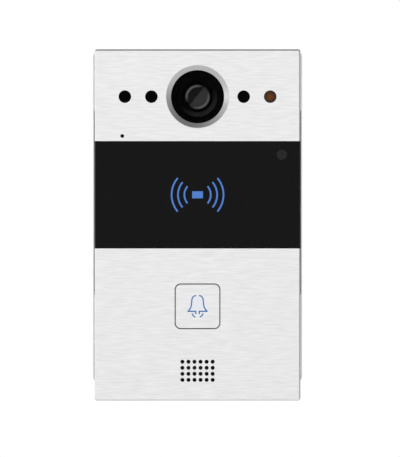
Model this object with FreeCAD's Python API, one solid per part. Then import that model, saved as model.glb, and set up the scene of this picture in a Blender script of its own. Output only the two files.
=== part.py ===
import FreeCAD, Part
import math
import os

# Door intercom panel for surface mounting, in millimetres.
# X runs to the right as a visitor sees the panel, +Y goes into the wall and +Z is up.
# The origin is on the wall plane, behind the centre of the face. A "depth" is a distance out from the wall,
# so a point at depth d has y = -d.

# ---- driving dimensions ----
FACE_W = 103.0
FACE_H = 176.0
DEPTH = 35.0
PLATE_T = 2.0
FRONT_SHELL_T = 10.0
REAR_D = 2.0
BRACKET_T = 1.5
WALL = 2.6
FRONT_WALL_T = 2.5
BOARD_T = 1.2

# ---- depths that follow from them ----
FRONT_D = DEPTH - PLATE_T
SPLIT_D = FRONT_D - FRONT_SHELL_T
INNER_D = FRONT_D - FRONT_WALL_T
BACK_WALL_D = REAR_D + 2.4

# ---- face ----
FACE_CORNER_R = 1.2
FACE_CHAMFER = 0.65
WINDOW_LOW = -11.65
WINDOW_HIGH = 41.95
WINDOW_W = FACE_W - 0.4
WINDOW_CHAMFER = 0.25
SEAM = 0.1

# ---- camera ----
CAMERA_Z = 64.3
BEZEL_R = 15.75
BEZEL_BORE_R = 13.3
BEZEL_FLANGE_R = 17.0
HOOD_R = 15.2
HOOD_PLATE = 36.0
HOOD_SCREW = 14.5
HOOD_BACK_D = 25.5
LENS_R = 6.3
BARREL_R = 7.2
THREAD_R = 6.0
CAMERA_BOARD_D = 8.0
FILTER_PITCH = 6.6

# ---- sensor row beside the camera ----
SENSOR_INNER_X = 23.1
SENSOR_OUTER_X = 36.4
SENSOR_R = 3.1
SENSOR_FLANGE_R = 4.0
SENSOR_BOARD_D = 22.9
MIC_X = -37.7
MIC_Z = 44.6
MIC_HOLE_R = 0.95

# ---- card reader ----
SYMBOL_Z = (WINDOW_LOW + WINDOW_HIGH) / 2
SYMBOL_ARC_R = (6.6, 9.8, 13.0)
SYMBOL_HALF_ANGLE = 40.0
SYMBOL_STROKE = 0.85
SYMBOL_CARD = (5.4, 3.5)
LIGHT_GUIDE = (31.4, 21.4)
PROXIMITY_X = 42.2
PROXIMITY_Z = 35.2
READER_BOARD_D = 27.6

# ---- call button ----
BUTTON_Z = -40.7
BUTTON_SIZE = 22.0
BUTTON_GAP = 0.45
BUTTON_R = 2.6
CAP_T = 1.8
BELL_STROKE = 0.62
BUTTON_BOARD_D = 19.8
SWITCH_TOP_D = 24.4

# ---- speaker ----
SPEAKER_Z = -73.0
GRILLE_COLUMNS = 6
GRILLE_ROWS = 4
GRILLE_PITCH = 3.03
GRILLE_HOLE_R = 1.0
SPEAKER_SIZE = (28.0, 20.0)

# ---- housings ----
FRONT_SHELL_W = FACE_W - 0.4
FRONT_SHELL_H = FACE_H - 0.4
LAND_HALF_W = 51.8
LAND_LOW = -34.8
LAND_HIGH = 57.4
REAR_HALF_W = 52.5
REAR_LOW = -79.1
REAR_HIGH = 87.65
REAR_EDGE_R = 2.2
GASKET_T = 0.8
HOUSING_SCREWS = [(side * 46.2, z) for side in (-1, 1) for z in (81.3, -15.0, -72.8)]

# ---- boards and what they carry behind the face ----
MAIN_BOARD_D = 16.0
MAIN_BOARD_T = 1.6
MAIN_BOARD_LOW = -74.0
MAIN_BOARD_HIGH = 42.0
MAIN_FRONT_D = MAIN_BOARD_D + MAIN_BOARD_T
BAY_HALF_W = 30.0
BAY_LOW = -62.0
BAY_HIGH = -18.0
BAY_D = 13.6
BAY_WALL = 2.0
JACK_X = -19.0
JACK_SIZE = (16.0, 21.0)
JACK_BACK_D = 4.6
TERMINAL_X = (-5.0, 27.0)
TERMINAL_POLES = 8
TERMINAL_PITCH = 3.81
TAMPER_X = 38.0
TAMPER_Z = -40.0

# ---- wall bracket ----
BRACKET_W = 86.0
BRACKET_LOW = -77.0
BRACKET_HIGH = 78.0
WALL_HOLE_X = 38.0
WALL_HOLE_Z = 68.0
BOX_HOLE_X = 30.0
BOX_HOLE_Z = 14.0
WALL_HOLE_R = 2.25
HOOK_X = 33.0
HOOK_W = 10.0
HOOK_Z = 47.9
LIP_HALF_W = 12.0
LIP_TOP = REAR_LOW - 0.3
SECURITY_SCREW_D = 9.0

OUT = FreeCAD.Vector(0, -1, 0)


# ---------------------------------------------------------------- shape helpers
def at(x, depth, z):
    """Point at a depth in front of the wall."""
    return FreeCAD.Vector(x, -depth, z)


def polar(cx, cz, radius, degrees, depth):
    """Point on a circle parallel to the face; the angle runs from +X towards +Z."""
    a = math.radians(degrees)
    return at(cx + radius * math.cos(a), depth, cz + radius * math.sin(a))


def block(x, depth, z):
    """Box between the pairs of limits x, depth and z."""
    corner = at(x[0], depth[1], z[0])
    return Part.makeBox(x[1] - x[0], depth[1] - depth[0], z[1] - z[0], corner)


def disc(x, z, depth, radius):
    """Cylinder along the panel's depth."""
    return Part.makeCylinder(radius, depth[1] - depth[0], at(x, depth[0], z), OUT)


def ring(x, z, depth, outer, inner):
    """Tube along the panel's depth."""
    return disc(x, z, depth, outer).cut(disc(x, z, depth, inner))


def slab(width, height, radius, depth, x=0.0, z=0.0):
    """Plate parallel to the face with rounded corners, centred on x and z."""
    corners = []
    for sx, sz, start in [(1, 1, 0), (-1, 1, 90), (-1, -1, 180), (1, -1, 270)]:
        cx = x + sx * (width / 2 - radius)
        cz = z + sz * (height / 2 - radius)
        corners.append([polar(cx, cz, radius, start + turn, depth[0]) for turn in (0, 45, 90)])
    edges = []
    for i in range(4):
        edges.append(Part.Arc(*corners[i]).toShape())
        start = corners[i][2]
        stop = corners[(i + 1) % 4][0]
        if start.distanceToPoint(stop) > 1e-6:
            edges.append(Part.LineSegment(start, stop).toShape())
    return Part.Face(Part.Wire(edges)).extrude(OUT * (depth[1] - depth[0]))


def frame(size, wall, radius, depth, x=0.0, z=0.0):
    """Rounded rectangular ring with a wall of even width."""
    outer = slab(size[0], size[1], radius, depth, x, z)
    inner = slab(size[0] - 2 * wall, size[1] - 2 * wall, max(radius - wall, 0.3), depth, x, z)
    return outer.cut(inner)


def turned(profile, x, z):
    """Body of revolution about a depth-wise axis, from (radius, depth) corners."""
    points = [at(x + r, d, z) for r, d in profile]
    face = Part.Face(Part.makePolygon(points + points[:1]))
    return face.revolve(at(x, 0, z), FreeCAD.Vector(0, 1, 0), 360)


def domed(x, z, radius, base, shoulder, crown):
    """Disc with a spherical front: flat back at base, edge at shoulder and middle at crown."""
    rise = crown - shoulder
    sphere_r = (radius * radius + rise * rise) / (2 * rise)
    half_turn = math.asin(radius / sphere_r) / 2
    if sphere_r < rise:
        half_turn = math.pi / 2 - half_turn
    bulge = at(x + sphere_r * math.sin(half_turn), crown - sphere_r * (1 - math.cos(half_turn)), z)
    edge = at(x + radius, shoulder, z)
    outline = Part.makePolygon([at(x, crown, z), at(x, base, z), at(x + radius, base, z), edge])
    curve = Part.Arc(edge, bulge, at(x, crown, z)).toShape()
    face = Part.Face(Part.Wire(outline.Edges + [curve]))
    return face.revolve(at(x, 0, z), FreeCAD.Vector(0, 1, 0), 360)


def join(shapes):
    """One solid from shapes that touch or overlap."""
    shapes = list(shapes)
    return shapes[0].fuse(shapes[1:]).removeSplitter()


def cut(body, tools):
    """Body with all the tools taken away."""
    return body.cut(Part.makeCompound(list(tools)))


def arc_stroke(cx, cz, radius, start, stop, width, depth):
    """Curved bar of constant width that follows an arc."""
    middle = (start + stop) / 2
    outer = radius + width / 2
    inner = radius - width / 2
    p = [polar(cx, cz, outer, a, depth[0]) for a in (start, middle, stop)]
    q = [polar(cx, cz, inner, a, depth[0]) for a in (stop, middle, start)]
    edges = [
        Part.Arc(*p).toShape(),
        Part.LineSegment(p[2], q[0]).toShape(),
        Part.Arc(*q).toShape(),
        Part.LineSegment(q[2], p[0]).toShape(),
    ]
    return Part.Face(Part.Wire(edges)).extrude(OUT * (depth[1] - depth[0]))


def line_stroke(start, stop, width, depth):
    """Straight bar of constant width between two (x, z) points, with round ends."""
    dx = stop[0] - start[0]
    dz = stop[1] - start[1]
    length = math.hypot(dx, dz)
    nx = -dz / length * width / 2
    nz = dx / length * width / 2
    corners = [
        at(start[0] + nx, depth[0], start[1] + nz),
        at(stop[0] + nx, depth[0], stop[1] + nz),
        at(stop[0] - nx, depth[0], stop[1] - nz),
        at(start[0] - nx, depth[0], start[1] - nz),
    ]
    bar = Part.Face(Part.makePolygon(corners + corners[:1])).extrude(OUT * (depth[1] - depth[0]))
    ends = [disc(p[0], p[1], depth, width / 2) for p in (start, stop)]
    return join([bar] + ends)


def mirrored(shape):
    """Shape reflected left to right about the panel's middle plane."""
    return shape.mirror(FreeCAD.Vector(0, 0, 0), FreeCAD.Vector(1, 0, 0))


def rounded_path(points, share=0.45):
    """Wire of straight runs joined by tangent arcs, and the smallest arc's radius."""
    edges = []
    radii = []
    start = points[0]
    for before, corner, after in zip(points, points[1:], points[2:]):
        u = before - corner
        v = after - corner
        reach = share * min(u.Length, v.Length)
        half_turn = (math.pi - u.getAngle(v)) / 2
        radii.append(reach / math.tan(half_turn))
        u.normalize()
        v.normalize()
        first = corner + u * reach
        last = corner + v * reach
        bisector = u + v
        bisector.normalize()
        to_centre = radii[-1] / math.cos(half_turn)
        middle = corner + bisector * (to_centre - radii[-1])
        edges.append(Part.LineSegment(start, first).toShape())
        edges.append(Part.Arc(first, middle, last).toShape())
        start = last
    edges.append(Part.LineSegment(start, points[-1]).toShape())
    return Part.Wire(edges), min(radii)


def rounded_edges(shape, radius, chosen):
    """Shape with the edges for which chosen(edge) is true rounded."""
    return shape.makeFillet(radius, [e for e in shape.Edges if chosen(e)])


def whole_edge_at(edge, depth):
    """True if an edge lies in the plane at a depth."""
    return all(abs(v.Point.y + depth) < 1e-4 for v in edge.Vertexes) and abs(edge.BoundBox.YLength) < 1e-4


def screw(x, z, head, head_r, shank_r, tip):
    """Cross-recess screw driven from the wall side or the face side: head depths, then the tip's depth."""
    forward = tip > head[1]
    under = head[1] if forward else head[0]
    outside = head[0] if forward else head[1]
    shank = disc(x, z, tuple(sorted((under, tip))), shank_r)
    top = disc(x, z, head, head_r)
    reach = (under + outside) / 2
    recess_depth = tuple(sorted((outside, reach)))
    arm = head_r * 0.62
    slot = head_r * 0.16
    cross = [
        block((x - arm, x + arm), recess_depth, (z - slot, z + slot)),
        block((x - slot, x + slot), recess_depth, (z - arm, z + arm)),
    ]
    return cut(join([top, shank]), cross)


# ---------------------------------------------------------------- face
def face_blank(width, chamfer):
    """Whole front plate with its front edges bevelled all round."""
    blank = slab(width, FACE_H, FACE_CORNER_R, (FRONT_D, DEPTH))
    return blank.makeChamfer(chamfer, [e for e in blank.Edges if whole_edge_at(e, DEPTH)])


def zone(low, high):
    """Space between two heights, wider than the panel."""
    return block((-FACE_W, FACE_W), (0, 2 * DEPTH), (low, high))


def button_opening():
    size = BUTTON_SIZE + 2 * BUTTON_GAP
    return slab(size, size, BUTTON_R + BUTTON_GAP, (FRONT_D, DEPTH), 0, BUTTON_Z)


def grille_holes():
    """Speaker holes through the lower plate."""
    holes = []
    for column in range(GRILLE_COLUMNS):
        for row in range(GRILLE_ROWS):
            x = (column - (GRILLE_COLUMNS - 1) / 2) * GRILLE_PITCH
            z = SPEAKER_Z + (row - (GRILLE_ROWS - 1) / 2) * GRILLE_PITCH
            holes.append(disc(x, z, (FRONT_D, DEPTH), GRILLE_HOLE_R))
    return holes


def sensor_places():
    """X of the three infrared windows, left to right."""
    return (-SENSOR_OUTER_X, -SENSOR_INNER_X, SENSOR_INNER_X)


def upper_face_plate():
    plate = face_blank(FACE_W, FACE_CHAMFER).common(zone(WINDOW_HIGH + SEAM, FACE_H))
    holes = [disc(0, CAMERA_Z, (FRONT_D, DEPTH), BEZEL_R + 0.05)]
    holes += [disc(x, CAMERA_Z, (FRONT_D, DEPTH), SENSOR_R + 0.05) for x in sensor_places()]
    holes.append(disc(SENSOR_OUTER_X, CAMERA_Z, (FRONT_D, DEPTH), SENSOR_R + 0.05))
    holes.append(disc(MIC_X, MIC_Z, (FRONT_D, DEPTH), MIC_HOLE_R))
    return cut(plate, holes)


def lower_face_plate():
    plate = face_blank(FACE_W, FACE_CHAMFER).common(zone(-FACE_H, WINDOW_LOW - SEAM))
    return cut(plate, [button_opening()] + grille_holes())


def symbol_strokes(depth):
    """Contactless card symbol: a card between two sets of three arcs."""
    half_w = SYMBOL_CARD[0] / 2
    half_h = SYMBOL_CARD[1] / 2
    strokes = [block((-half_w, half_w), depth, (SYMBOL_Z - half_h, SYMBOL_Z + half_h))]
    for radius in SYMBOL_ARC_R:
        for middle in (0, 180):
            start = middle - SYMBOL_HALF_ANGLE
            stop = middle + SYMBOL_HALF_ANGLE
            strokes.append(arc_stroke(0, SYMBOL_Z, radius, start, stop, SYMBOL_STROKE, depth))
    return strokes


def reader_window():
    blank = face_blank(WINDOW_W, WINDOW_CHAMFER).common(zone(WINDOW_LOW, WINDOW_HIGH))
    lens_hole = disc(PROXIMITY_X, PROXIMITY_Z, (FRONT_D, DEPTH), 2.55)
    return cut(blank, symbol_strokes((FRONT_D, DEPTH)) + [lens_hole])


def reader_symbol():
    guide = slab(LIGHT_GUIDE[0], LIGHT_GUIDE[1], 2.0, (FRONT_D - 2.0, FRONT_D), 0, SYMBOL_Z)
    return join([guide] + symbol_strokes((FRONT_D, DEPTH)))


def proximity_sensor_lens():
    return join([
        disc(PROXIMITY_X, PROXIMITY_Z, (FRONT_D, DEPTH), 2.55),
        disc(PROXIMITY_X, PROXIMITY_Z, (FRONT_D - 1.0, FRONT_D), 3.6),
    ])


# ---------------------------------------------------------------- camera
def camera_bezel_ring():
    seat_r = BEZEL_BORE_R + 1.3
    return turned([
        (BEZEL_BORE_R, FRONT_D),
        (BEZEL_BORE_R, DEPTH - 1.6),
        (BEZEL_R - 0.15, DEPTH),
        (BEZEL_R, DEPTH),
        (BEZEL_R, FRONT_D),
        (BEZEL_FLANGE_R, FRONT_D),
        (BEZEL_FLANGE_R, FRONT_D - 0.8),
        (BEZEL_R, FRONT_D - 0.8),
        (BEZEL_R, FRONT_D - 1.6),
        (seat_r, FRONT_D - 1.6),
        (seat_r, FRONT_D),
    ], 0, CAMERA_Z)


def camera_window():
    return disc(0, CAMERA_Z, (FRONT_D - 1.6, FRONT_D), BEZEL_BORE_R + 1.25)


def hood_screw_places():
    return [(sx * HOOD_SCREW, CAMERA_Z + sz * HOOD_SCREW) for sx in (-1, 1) for sz in (-1, 1)]


def camera_hood():
    tube = turned([
        (HOOD_R, HOOD_BACK_D),
        (HOOD_R, FRONT_D - 1.6),
        (12.9, FRONT_D - 1.6),
        (12.2, FRONT_D - 2.4),
        (11.8, FRONT_D - 2.4),
        (10.2, FRONT_D - 4.1),
        (8.8, FRONT_D - 4.1),
        (7.5, FRONT_D - 5.4),
        (7.5, HOOD_BACK_D),
    ], 0, CAMERA_Z)
    plate = slab(HOOD_PLATE, HOOD_PLATE, 5.0, (HOOD_BACK_D, HOOD_BACK_D + 1.5), 0, CAMERA_Z)
    plate = cut(plate, [disc(0, CAMERA_Z, (HOOD_BACK_D, HOOD_BACK_D + 1.5), HOOD_R - 1.0)])
    holes = [disc(x, z, (HOOD_BACK_D, HOOD_BACK_D + 1.5), 1.15) for x, z in hood_screw_places()]
    return cut(join([tube, plate]), holes)


def lens_barrel():
    front = 28.4
    return turned([
        (5.0, 13.5),
        (THREAD_R, 13.5),
        (THREAD_R, 22.5),
        (BARREL_R, 22.5),
        (BARREL_R, front - 0.4),
        (BARREL_R - 0.4, front),
        (LENS_R + 0.05, front),
        (LENS_R + 0.05, 26.0),
        (5.0, 26.0),
    ], 0, CAMERA_Z)


def lens_front_element():
    return domed(0, CAMERA_Z, LENS_R, 26.0, 27.4, 28.9)


def lens_inner_elements():
    return [domed(0, CAMERA_Z, 4.9, base, base + 0.9, base + 2.0) for base in (15.5, 20.5)]


def lens_holder():
    base = slab(24.0, 18.0, 1.5, (9.2, 15.2), 0, CAMERA_Z)
    neck = disc(0, CAMERA_Z, (15.2, 22.0), 8.5)
    cavity = block((-10.4, 10.4), (9.2, 14.2), (CAMERA_Z - 4.4, CAMERA_Z + 4.4))
    bore = disc(0, CAMERA_Z, (13.3, 22.0), THREAD_R + 0.05)
    return cut(join([base, neck]), [cavity, bore])


def filter_squares(size, depth):
    """The two filter places in the tray; the first is in front of the sensor at rest."""
    squares = []
    for x in (0.0, FILTER_PITCH):
        z = (CAMERA_Z - size / 2, CAMERA_Z + size / 2)
        squares.append(block((x - size / 2, x + size / 2), depth, z))
    return squares


def ir_cut_tray():
    tray = slab(13.0, 8.0, 0.8, (12.2, 13.2), FILTER_PITCH / 2, CAMERA_Z)
    return cut(tray, filter_squares(5.2, (12.2, 13.2)))


def ir_cut_filters():
    return filter_squares(5.16, (12.4, 13.0))


def camera_board_screw_places():
    return [(sx * 14.0, CAMERA_Z + sz * 12.0) for sx in (-1, 1) for sz in (-1, 1)]


def camera_board():
    board = slab(34.0, 30.0, 1.5, (CAMERA_BOARD_D, CAMERA_BOARD_D + BOARD_T), 0, CAMERA_Z)
    span = (CAMERA_BOARD_D, CAMERA_BOARD_D + BOARD_T)
    return cut(board, [disc(x, z, span, 1.15) for x, z in camera_board_screw_places()])


def camera_ribbon():
    """Flat cable from the camera board, round the top of the main board and down to its socket."""
    depth_1 = CAMERA_BOARD_D + BOARD_T + 0.15
    depth_2 = MAIN_FRONT_D + 1.0
    points = [at(0, depth_1, 51.5), at(0, depth_1, 46.4), at(0, depth_2, 45.0), at(0, depth_2, 38.5)]
    path = rounded_path(points)[0]
    half_t = 0.15
    offsets = [(-5, -half_t), (5, -half_t), (5, half_t), (-5, half_t)]
    corners = [at(x, depth_1 + t, 51.5) for x, t in offsets]
    return path.makePipeShell([Part.makePolygon(corners + corners[:1])], True, False)


# ---------------------------------------------------------------- sensor row
def sensor_window(x):
    """Round window that fills a hole in the plate, with a flange behind the plate."""
    return join([
        disc(x, CAMERA_Z, (FRONT_D, DEPTH - 0.3), SENSOR_R),
        disc(x, CAMERA_Z, (FRONT_D - 1.2, FRONT_D), SENSOR_FLANGE_R),
    ])


def ir_windows():
    return [sensor_window(x) for x in sensor_places()]


def light_sensor_window():
    return sensor_window(SENSOR_OUTER_X)


def ir_leds():
    """Three 5 mm infrared diodes standing on the sensor board."""
    base = SENSOR_BOARD_D + BOARD_T
    leds = []
    for x in sensor_places():
        body = domed(x, CAMERA_Z, 2.5, base, base + 4.9, base + 7.1)
        leds.append(join([body, disc(x, CAMERA_Z, (base, base + 0.9), 2.9)]))
    return leds


def light_sensor():
    base = SENSOR_BOARD_D + BOARD_T
    legs = [disc(SENSOR_OUTER_X + dx, CAMERA_Z, (base, base + 4.9), 0.3) for dx in (-1.3, 1.3)]
    return join([disc(SENSOR_OUTER_X, CAMERA_Z, (base + 4.9, base + 6.8), 2.5)] + legs)


def sensor_board_screw_places():
    return [(sx * 38.5, z) for sx in (-1, 1) for z in (80.5, 51.8)]


def sensor_board():
    span = (SENSOR_BOARD_D, SENSOR_BOARD_D + BOARD_T)
    board = slab(83.0, 45.0, 1.5, span, 0, 62.0)
    holes = [disc(x, z, span, 1.15) for x, z in sensor_board_screw_places()]
    return cut(board, holes + [disc(0, CAMERA_Z, span, 9.5)])


def microphone():
    base = SENSOR_BOARD_D + BOARD_T
    can = disc(MIC_X, MIC_Z, (base, base + 2.8), 3.0)
    return cut(can, [disc(MIC_X, MIC_Z, (base + 2.4, base + 2.8), 0.8)])


def microphone_boot():
    """Rubber cup that holds the capsule and seals its sound channel to the face."""
    base = SENSOR_BOARD_D + BOARD_T + 0.2
    body = join([
        disc(MIC_X, MIC_Z, (base, INNER_D), 4.2),
        disc(MIC_X, MIC_Z, (INNER_D, FRONT_D), 2.4),
    ])
    cup = disc(MIC_X, MIC_Z, (base, base + 2.8), 3.05)
    return cut(body, [cup, disc(MIC_X, MIC_Z, (base, FRONT_D), 0.7)])


# ---------------------------------------------------------------- card reader
def reader_board_screw_places():
    return [(sx * 34.0, SYMBOL_Z + sz * 21.0) for sx in (-1, 1) for sz in (-1, 1)]


def reader_antenna_board():
    span = (READER_BOARD_D, READER_BOARD_D + BOARD_T)
    board = slab(92.0, 48.0, 1.5, span, 0, SYMBOL_Z)
    return cut(board, [disc(x, z, span, 1.15) for x, z in reader_board_screw_places()])


def reader_antenna_coil():
    """Rectangular spiral of flat copper on the front of the antenna board."""
    turns = 4
    pitch = 1.5
    trace = 0.8
    front = READER_BOARD_D + BOARD_T
    depth = (front, front + 0.2)
    bars = []
    x0, x1 = -42.0, 42.0
    z0, z1 = SYMBOL_Z - 17.5, SYMBOL_Z + 17.5
    half = trace / 2
    for turn in range(turns):
        step = turn * pitch
        left = x0 + step
        right = x1 - step
        low = z0 + step
        high = z1 - step
        next_left = left + pitch - half
        next_low = low + pitch - half
        bars.append(block((left - half, left + half), depth, (low - half, high + half)))
        bars.append(block((left - half, right + half), depth, (high - half, high + half)))
        bars.append(block((right - half, right + half), depth, (next_low, high + half)))
        bars.append(block((next_left, right + half), depth, (next_low, next_low + trace)))
    return join(bars)


# ---------------------------------------------------------------- call button
def bell_half(depth):
    """Left half of a bell outline in strokes: crown, waist, flared skirt, rim, stem and clapper."""
    w = BELL_STROKE
    z = BUTTON_Z
    crown_end = polar(-0.6, z + 3.2, 2.2, 100, 0)
    return [
        arc_stroke(-0.6, z + 3.2, 2.2, 100, 180, w, depth),
        disc(crown_end.x, crown_end.z, depth, w / 2),
        line_stroke((-2.8, z + 3.2), (-3.05, z + 1.3), w, depth),
        arc_stroke(-8.0, z + 1.3, 4.95, -49, 0, w, depth),
        line_stroke((-4.8, z - 2.5), (-0.85, z - 2.5), w, depth),
        line_stroke((-0.85, z - 2.5), (-0.85, z - 3.7), w, depth),
        arc_stroke(-0.05, z - 2.9, 2.75, 194, 246, w, depth),
    ]


def bell_strokes(depth):
    """Whole bell: each half is one outline and one clapper arc."""
    half = bell_half(depth)
    outline = join(half[:-1])
    return [outline, half[-1], mirrored(outline), mirrored(half[-1])]


def call_button_cap():
    depth = (DEPTH - CAP_T, DEPTH)
    cap = slab(BUTTON_SIZE, BUTTON_SIZE, BUTTON_R, depth, 0, BUTTON_Z)
    cap = cap.makeChamfer(0.15, [e for e in cap.Edges if whole_edge_at(e, DEPTH)])
    return cut(cap, bell_strokes(depth))


def call_button_icon():
    """Blue light guide whose raised strokes fill the cut-outs of the cap."""
    back = DEPTH - CAP_T
    guide = slab(13.0, 13.4, 1.0, (back - 1.8, back), 0, BUTTON_Z)
    return join([guide] + bell_strokes((back, DEPTH)))


def call_button_carrier():
    back = DEPTH - CAP_T
    body = slab(BUTTON_SIZE - 0.4, BUTTON_SIZE - 0.4, BUTTON_R, (INNER_D - 1.3, back), 0, BUTTON_Z)
    flange = slab(25.0, 25.0, 2.0, (INNER_D - 1.3, INNER_D - 0.3), 0, BUTTON_Z)
    stem = disc(0, BUTTON_Z, (INNER_D - 2.5, INNER_D - 1.3), 3.0)
    pocket = slab(13.1, 13.5, 1.0, (back - 1.8, back), 0, BUTTON_Z)
    return cut(join([body, flange, stem]), [pocket])


def button_seal():
    """Silicone cup round the carrier; its floor bends when the button is pressed."""
    cup = slab(30.0, 30.0, 3.0, (INNER_D - 3.3, INNER_D), 0, BUTTON_Z)
    inside = slab(26.0, 26.0, 2.0, (INNER_D - 2.5, INNER_D), 0, BUTTON_Z)
    nub = disc(0, BUTTON_Z, (SWITCH_TOP_D + 1.0, INNER_D - 3.3), 2.5)
    return join([cut(cup, [inside]), nub])


def switch_body():
    z = (BUTTON_Z - 3.0, BUTTON_Z + 3.0)
    case = block((-3.0, 3.0), (BUTTON_BOARD_D + 1.6, SWITCH_TOP_D), z)
    return cut(case, [disc(0, BUTTON_Z, (SWITCH_TOP_D - 2.2, SWITCH_TOP_D), 1.85)])


def switch_plunger():
    return disc(0, BUTTON_Z, (SWITCH_TOP_D - 1.4, SWITCH_TOP_D + 0.95), 1.75)


def button_board_screw_places():
    return [(sx * 19.8, BUTTON_Z + sz * 12.0) for sx in (-1, 1) for sz in (-1, 1)]


def button_board():
    span = (BUTTON_BOARD_D, BUTTON_BOARD_D + 1.6)
    board = slab(45.0, 30.0, 1.0, span, 0, BUTTON_Z)
    return cut(board, [disc(x, z, span, 1.15) for x, z in button_board_screw_places()])


def indicator_leds():
    """Blue chip diodes behind the card symbol and behind the bell."""
    reader = READER_BOARD_D + BOARD_T
    button = BUTTON_BOARD_D + 1.6
    chips = []
    for x in (-9.0, 9.0):
        for z in (SYMBOL_Z - 4.0, SYMBOL_Z + 4.0):
            chips.append(block((x - 1.5, x + 1.5), (reader, reader + 0.8), (z - 0.8, z + 0.8)))
    for x in (-8.0, 8.0):
        z = (BUTTON_Z - 0.8, BUTTON_Z + 0.8)
        chips.append(block((x - 1.5, x + 1.5), (button, button + 0.8), z))
    return chips


# ---------------------------------------------------------------- speaker
def speaker_mesh():
    return slab(19.0, 12.6, 1.5, (FRONT_D - 0.2, FRONT_D), 0, SPEAKER_Z)


def speaker_gasket():
    return frame(SPEAKER_SIZE, 2.4, 4.0, (INNER_D - 1.0, INNER_D), 0, SPEAKER_Z)


def speaker_frame():
    rim = frame(SPEAKER_SIZE, 2.7, 4.0, (INNER_D - 3.1, INNER_D - 1.0), 0, SPEAKER_Z)
    back = slab(SPEAKER_SIZE[0], SPEAKER_SIZE[1], 4.0, (INNER_D - 3.5, INNER_D - 3.1), 0, SPEAKER_Z)
    return cut(join([rim, back]), [disc(0, SPEAKER_Z, (INNER_D - 4, INNER_D), 6.55)])


def speaker_magnet():
    """Yoke cup with a centre pole; the voice coil moves in the ring gap between them."""
    back = 25.1
    cup = disc(0, SPEAKER_Z, (back, 27.9), 6.5)
    return cut(cup, [ring(0, SPEAKER_Z, (back + 0.8, 27.9), 5.5, 4.0)])


def speaker_diaphragm():
    plate = slab(19.0, 11.5, 3.0, (28.6, 28.9), 0, SPEAKER_Z)
    return join([plate, domed(0, SPEAKER_Z, 4.6, 28.7, 28.9, 29.6)])


def speaker_surround():
    outer = slab(22.6, 14.6, 1.3, (28.55, 28.95), 0, SPEAKER_Z)
    return cut(outer, [slab(19.0, 11.5, 3.0, (28.55, 28.95), 0, SPEAKER_Z)])


def speaker_voice_coil():
    return ring(0, SPEAKER_Z, (26.4, 28.6), 5.1, 4.4)


# ---------------------------------------------------------------- boards behind the face
def main_board_screw_places():
    return [(sx * 37.0, z) for sx in (-1, 1) for z in (36.0, -57.0)]


def main_board():
    span = (MAIN_BOARD_D, MAIN_FRONT_D)
    height = MAIN_BOARD_HIGH - MAIN_BOARD_LOW
    board = slab(84.0, height, 2.0, span, 0, (MAIN_BOARD_HIGH + MAIN_BOARD_LOW) / 2)
    return cut(board, [disc(x, z, span, 1.3) for x, z in main_board_screw_places()])


def chip(x, z, width, height, thick, base):
    """Flat component standing on a board face at depth base."""
    return block((x - width / 2, x + width / 2), (base, base + thick), (z - height / 2, z + height / 2))


def board_headers():
    """Stacking headers between the boards, and the sockets for the leads and the camera's flat cable."""
    front = MAIN_FRONT_D
    return [
        chip(5, -28, 12, 2.5, BUTTON_BOARD_D - front, front),
        chip(-23, -3, 14, 2.5, READER_BOARD_D - front, front),
        chip(-24, 40.6, 14, 2.0, SENSOR_BOARD_D - front, front),
        chip(30, 30, 10, 5, 4.5, front),
        chip(0, -66, 8, 5, 4.5, front),
        chip(0, 37.0, 13, 3.0, 2.0, front),
        chip(0, 53.0, 13, 3.0, 1.6, CAMERA_BOARD_D + BOARD_T),
    ]


def board_components():
    """Chips, door relay, coil, capacitors and connectors soldered to the boards."""
    front = MAIN_FRONT_D
    parts = [
        chip(-14, 12, 14, 14, 1.2, front),
        chip(8, 20, 11, 9, 1.0, front),
        chip(8, 6, 8, 6, 1.0, front),
        chip(24, -10, 6, 6, 1.0, front),
        chip(-28, -14, 5, 4, 1.4, front),
        chip(0, CAMERA_Z, 8, 7, 1.0, CAMERA_BOARD_D + BOARD_T),
        chip(PROXIMITY_X, PROXIMITY_Z, 3.0, 2.6, 1.0, READER_BOARD_D + BOARD_T),
        block((18, 32), (7.4, MAIN_BOARD_D), (21, 34)),
        block((-10, 4), (8.4, MAIN_BOARD_D), (12, 24)),
    ]
    parts += [disc(-36.5, z, (7.4, MAIN_BOARD_D), 3.2) for z in (24.5, 16.7, 8.9)]
    return parts + board_headers()


def heat_sink():
    """Finned block on the processor."""
    base_d = MAIN_FRONT_D + 1.2
    base = chip(-14, 12, 18, 18, 1.5, base_d)
    fins = [chip(-14 + (i - 3) * 2.8, 12, 0.9, 18, 5.0, base_d + 1.5) for i in range(7)]
    return join([base] + fins)


def jack_span():
    return (JACK_X - JACK_SIZE[0] / 2, JACK_X + JACK_SIZE[0] / 2)


def jack_port():
    """Room for the plug: the main opening and the stepped notch for its latch."""
    return [
        block((JACK_X - 5.95, JACK_X + 5.95), (6.4, 13.2), (BAY_HIGH, BAY_HIGH + 12.5)),
        block((JACK_X - 3.2, JACK_X + 3.2), (5.6, 6.4), (BAY_HIGH, BAY_HIGH + 12.5)),
        block((JACK_X - 1.7, JACK_X + 1.7), (5.0, 5.6), (BAY_HIGH, BAY_HIGH + 12.5)),
    ]


def jack_lamps():
    """Two link lamps in the corners of the jack's face."""
    lamps = []
    for side in (-1, 1):
        x = JACK_X + side * 6.95
        lamps.append(block((x - 0.7, x + 0.7), (5.6, 8.2), (BAY_HIGH, BAY_HIGH + 1.5)))
    return lamps


def network_jack():
    shell = block(jack_span(), (JACK_BACK_D, MAIN_BOARD_D), (BAY_HIGH, BAY_HIGH + JACK_SIZE[1]))
    return cut(shell, jack_port() + jack_lamps())


def network_jack_contacts():
    wires = []
    for i in range(8):
        x = JACK_X + (i - 3.5) * 1.02
        wires.append(block((x - 0.2, x + 0.2), (12.4, 13.2), (BAY_HIGH + 1.6, BAY_HIGH + 11.5)))
    return wires


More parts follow.
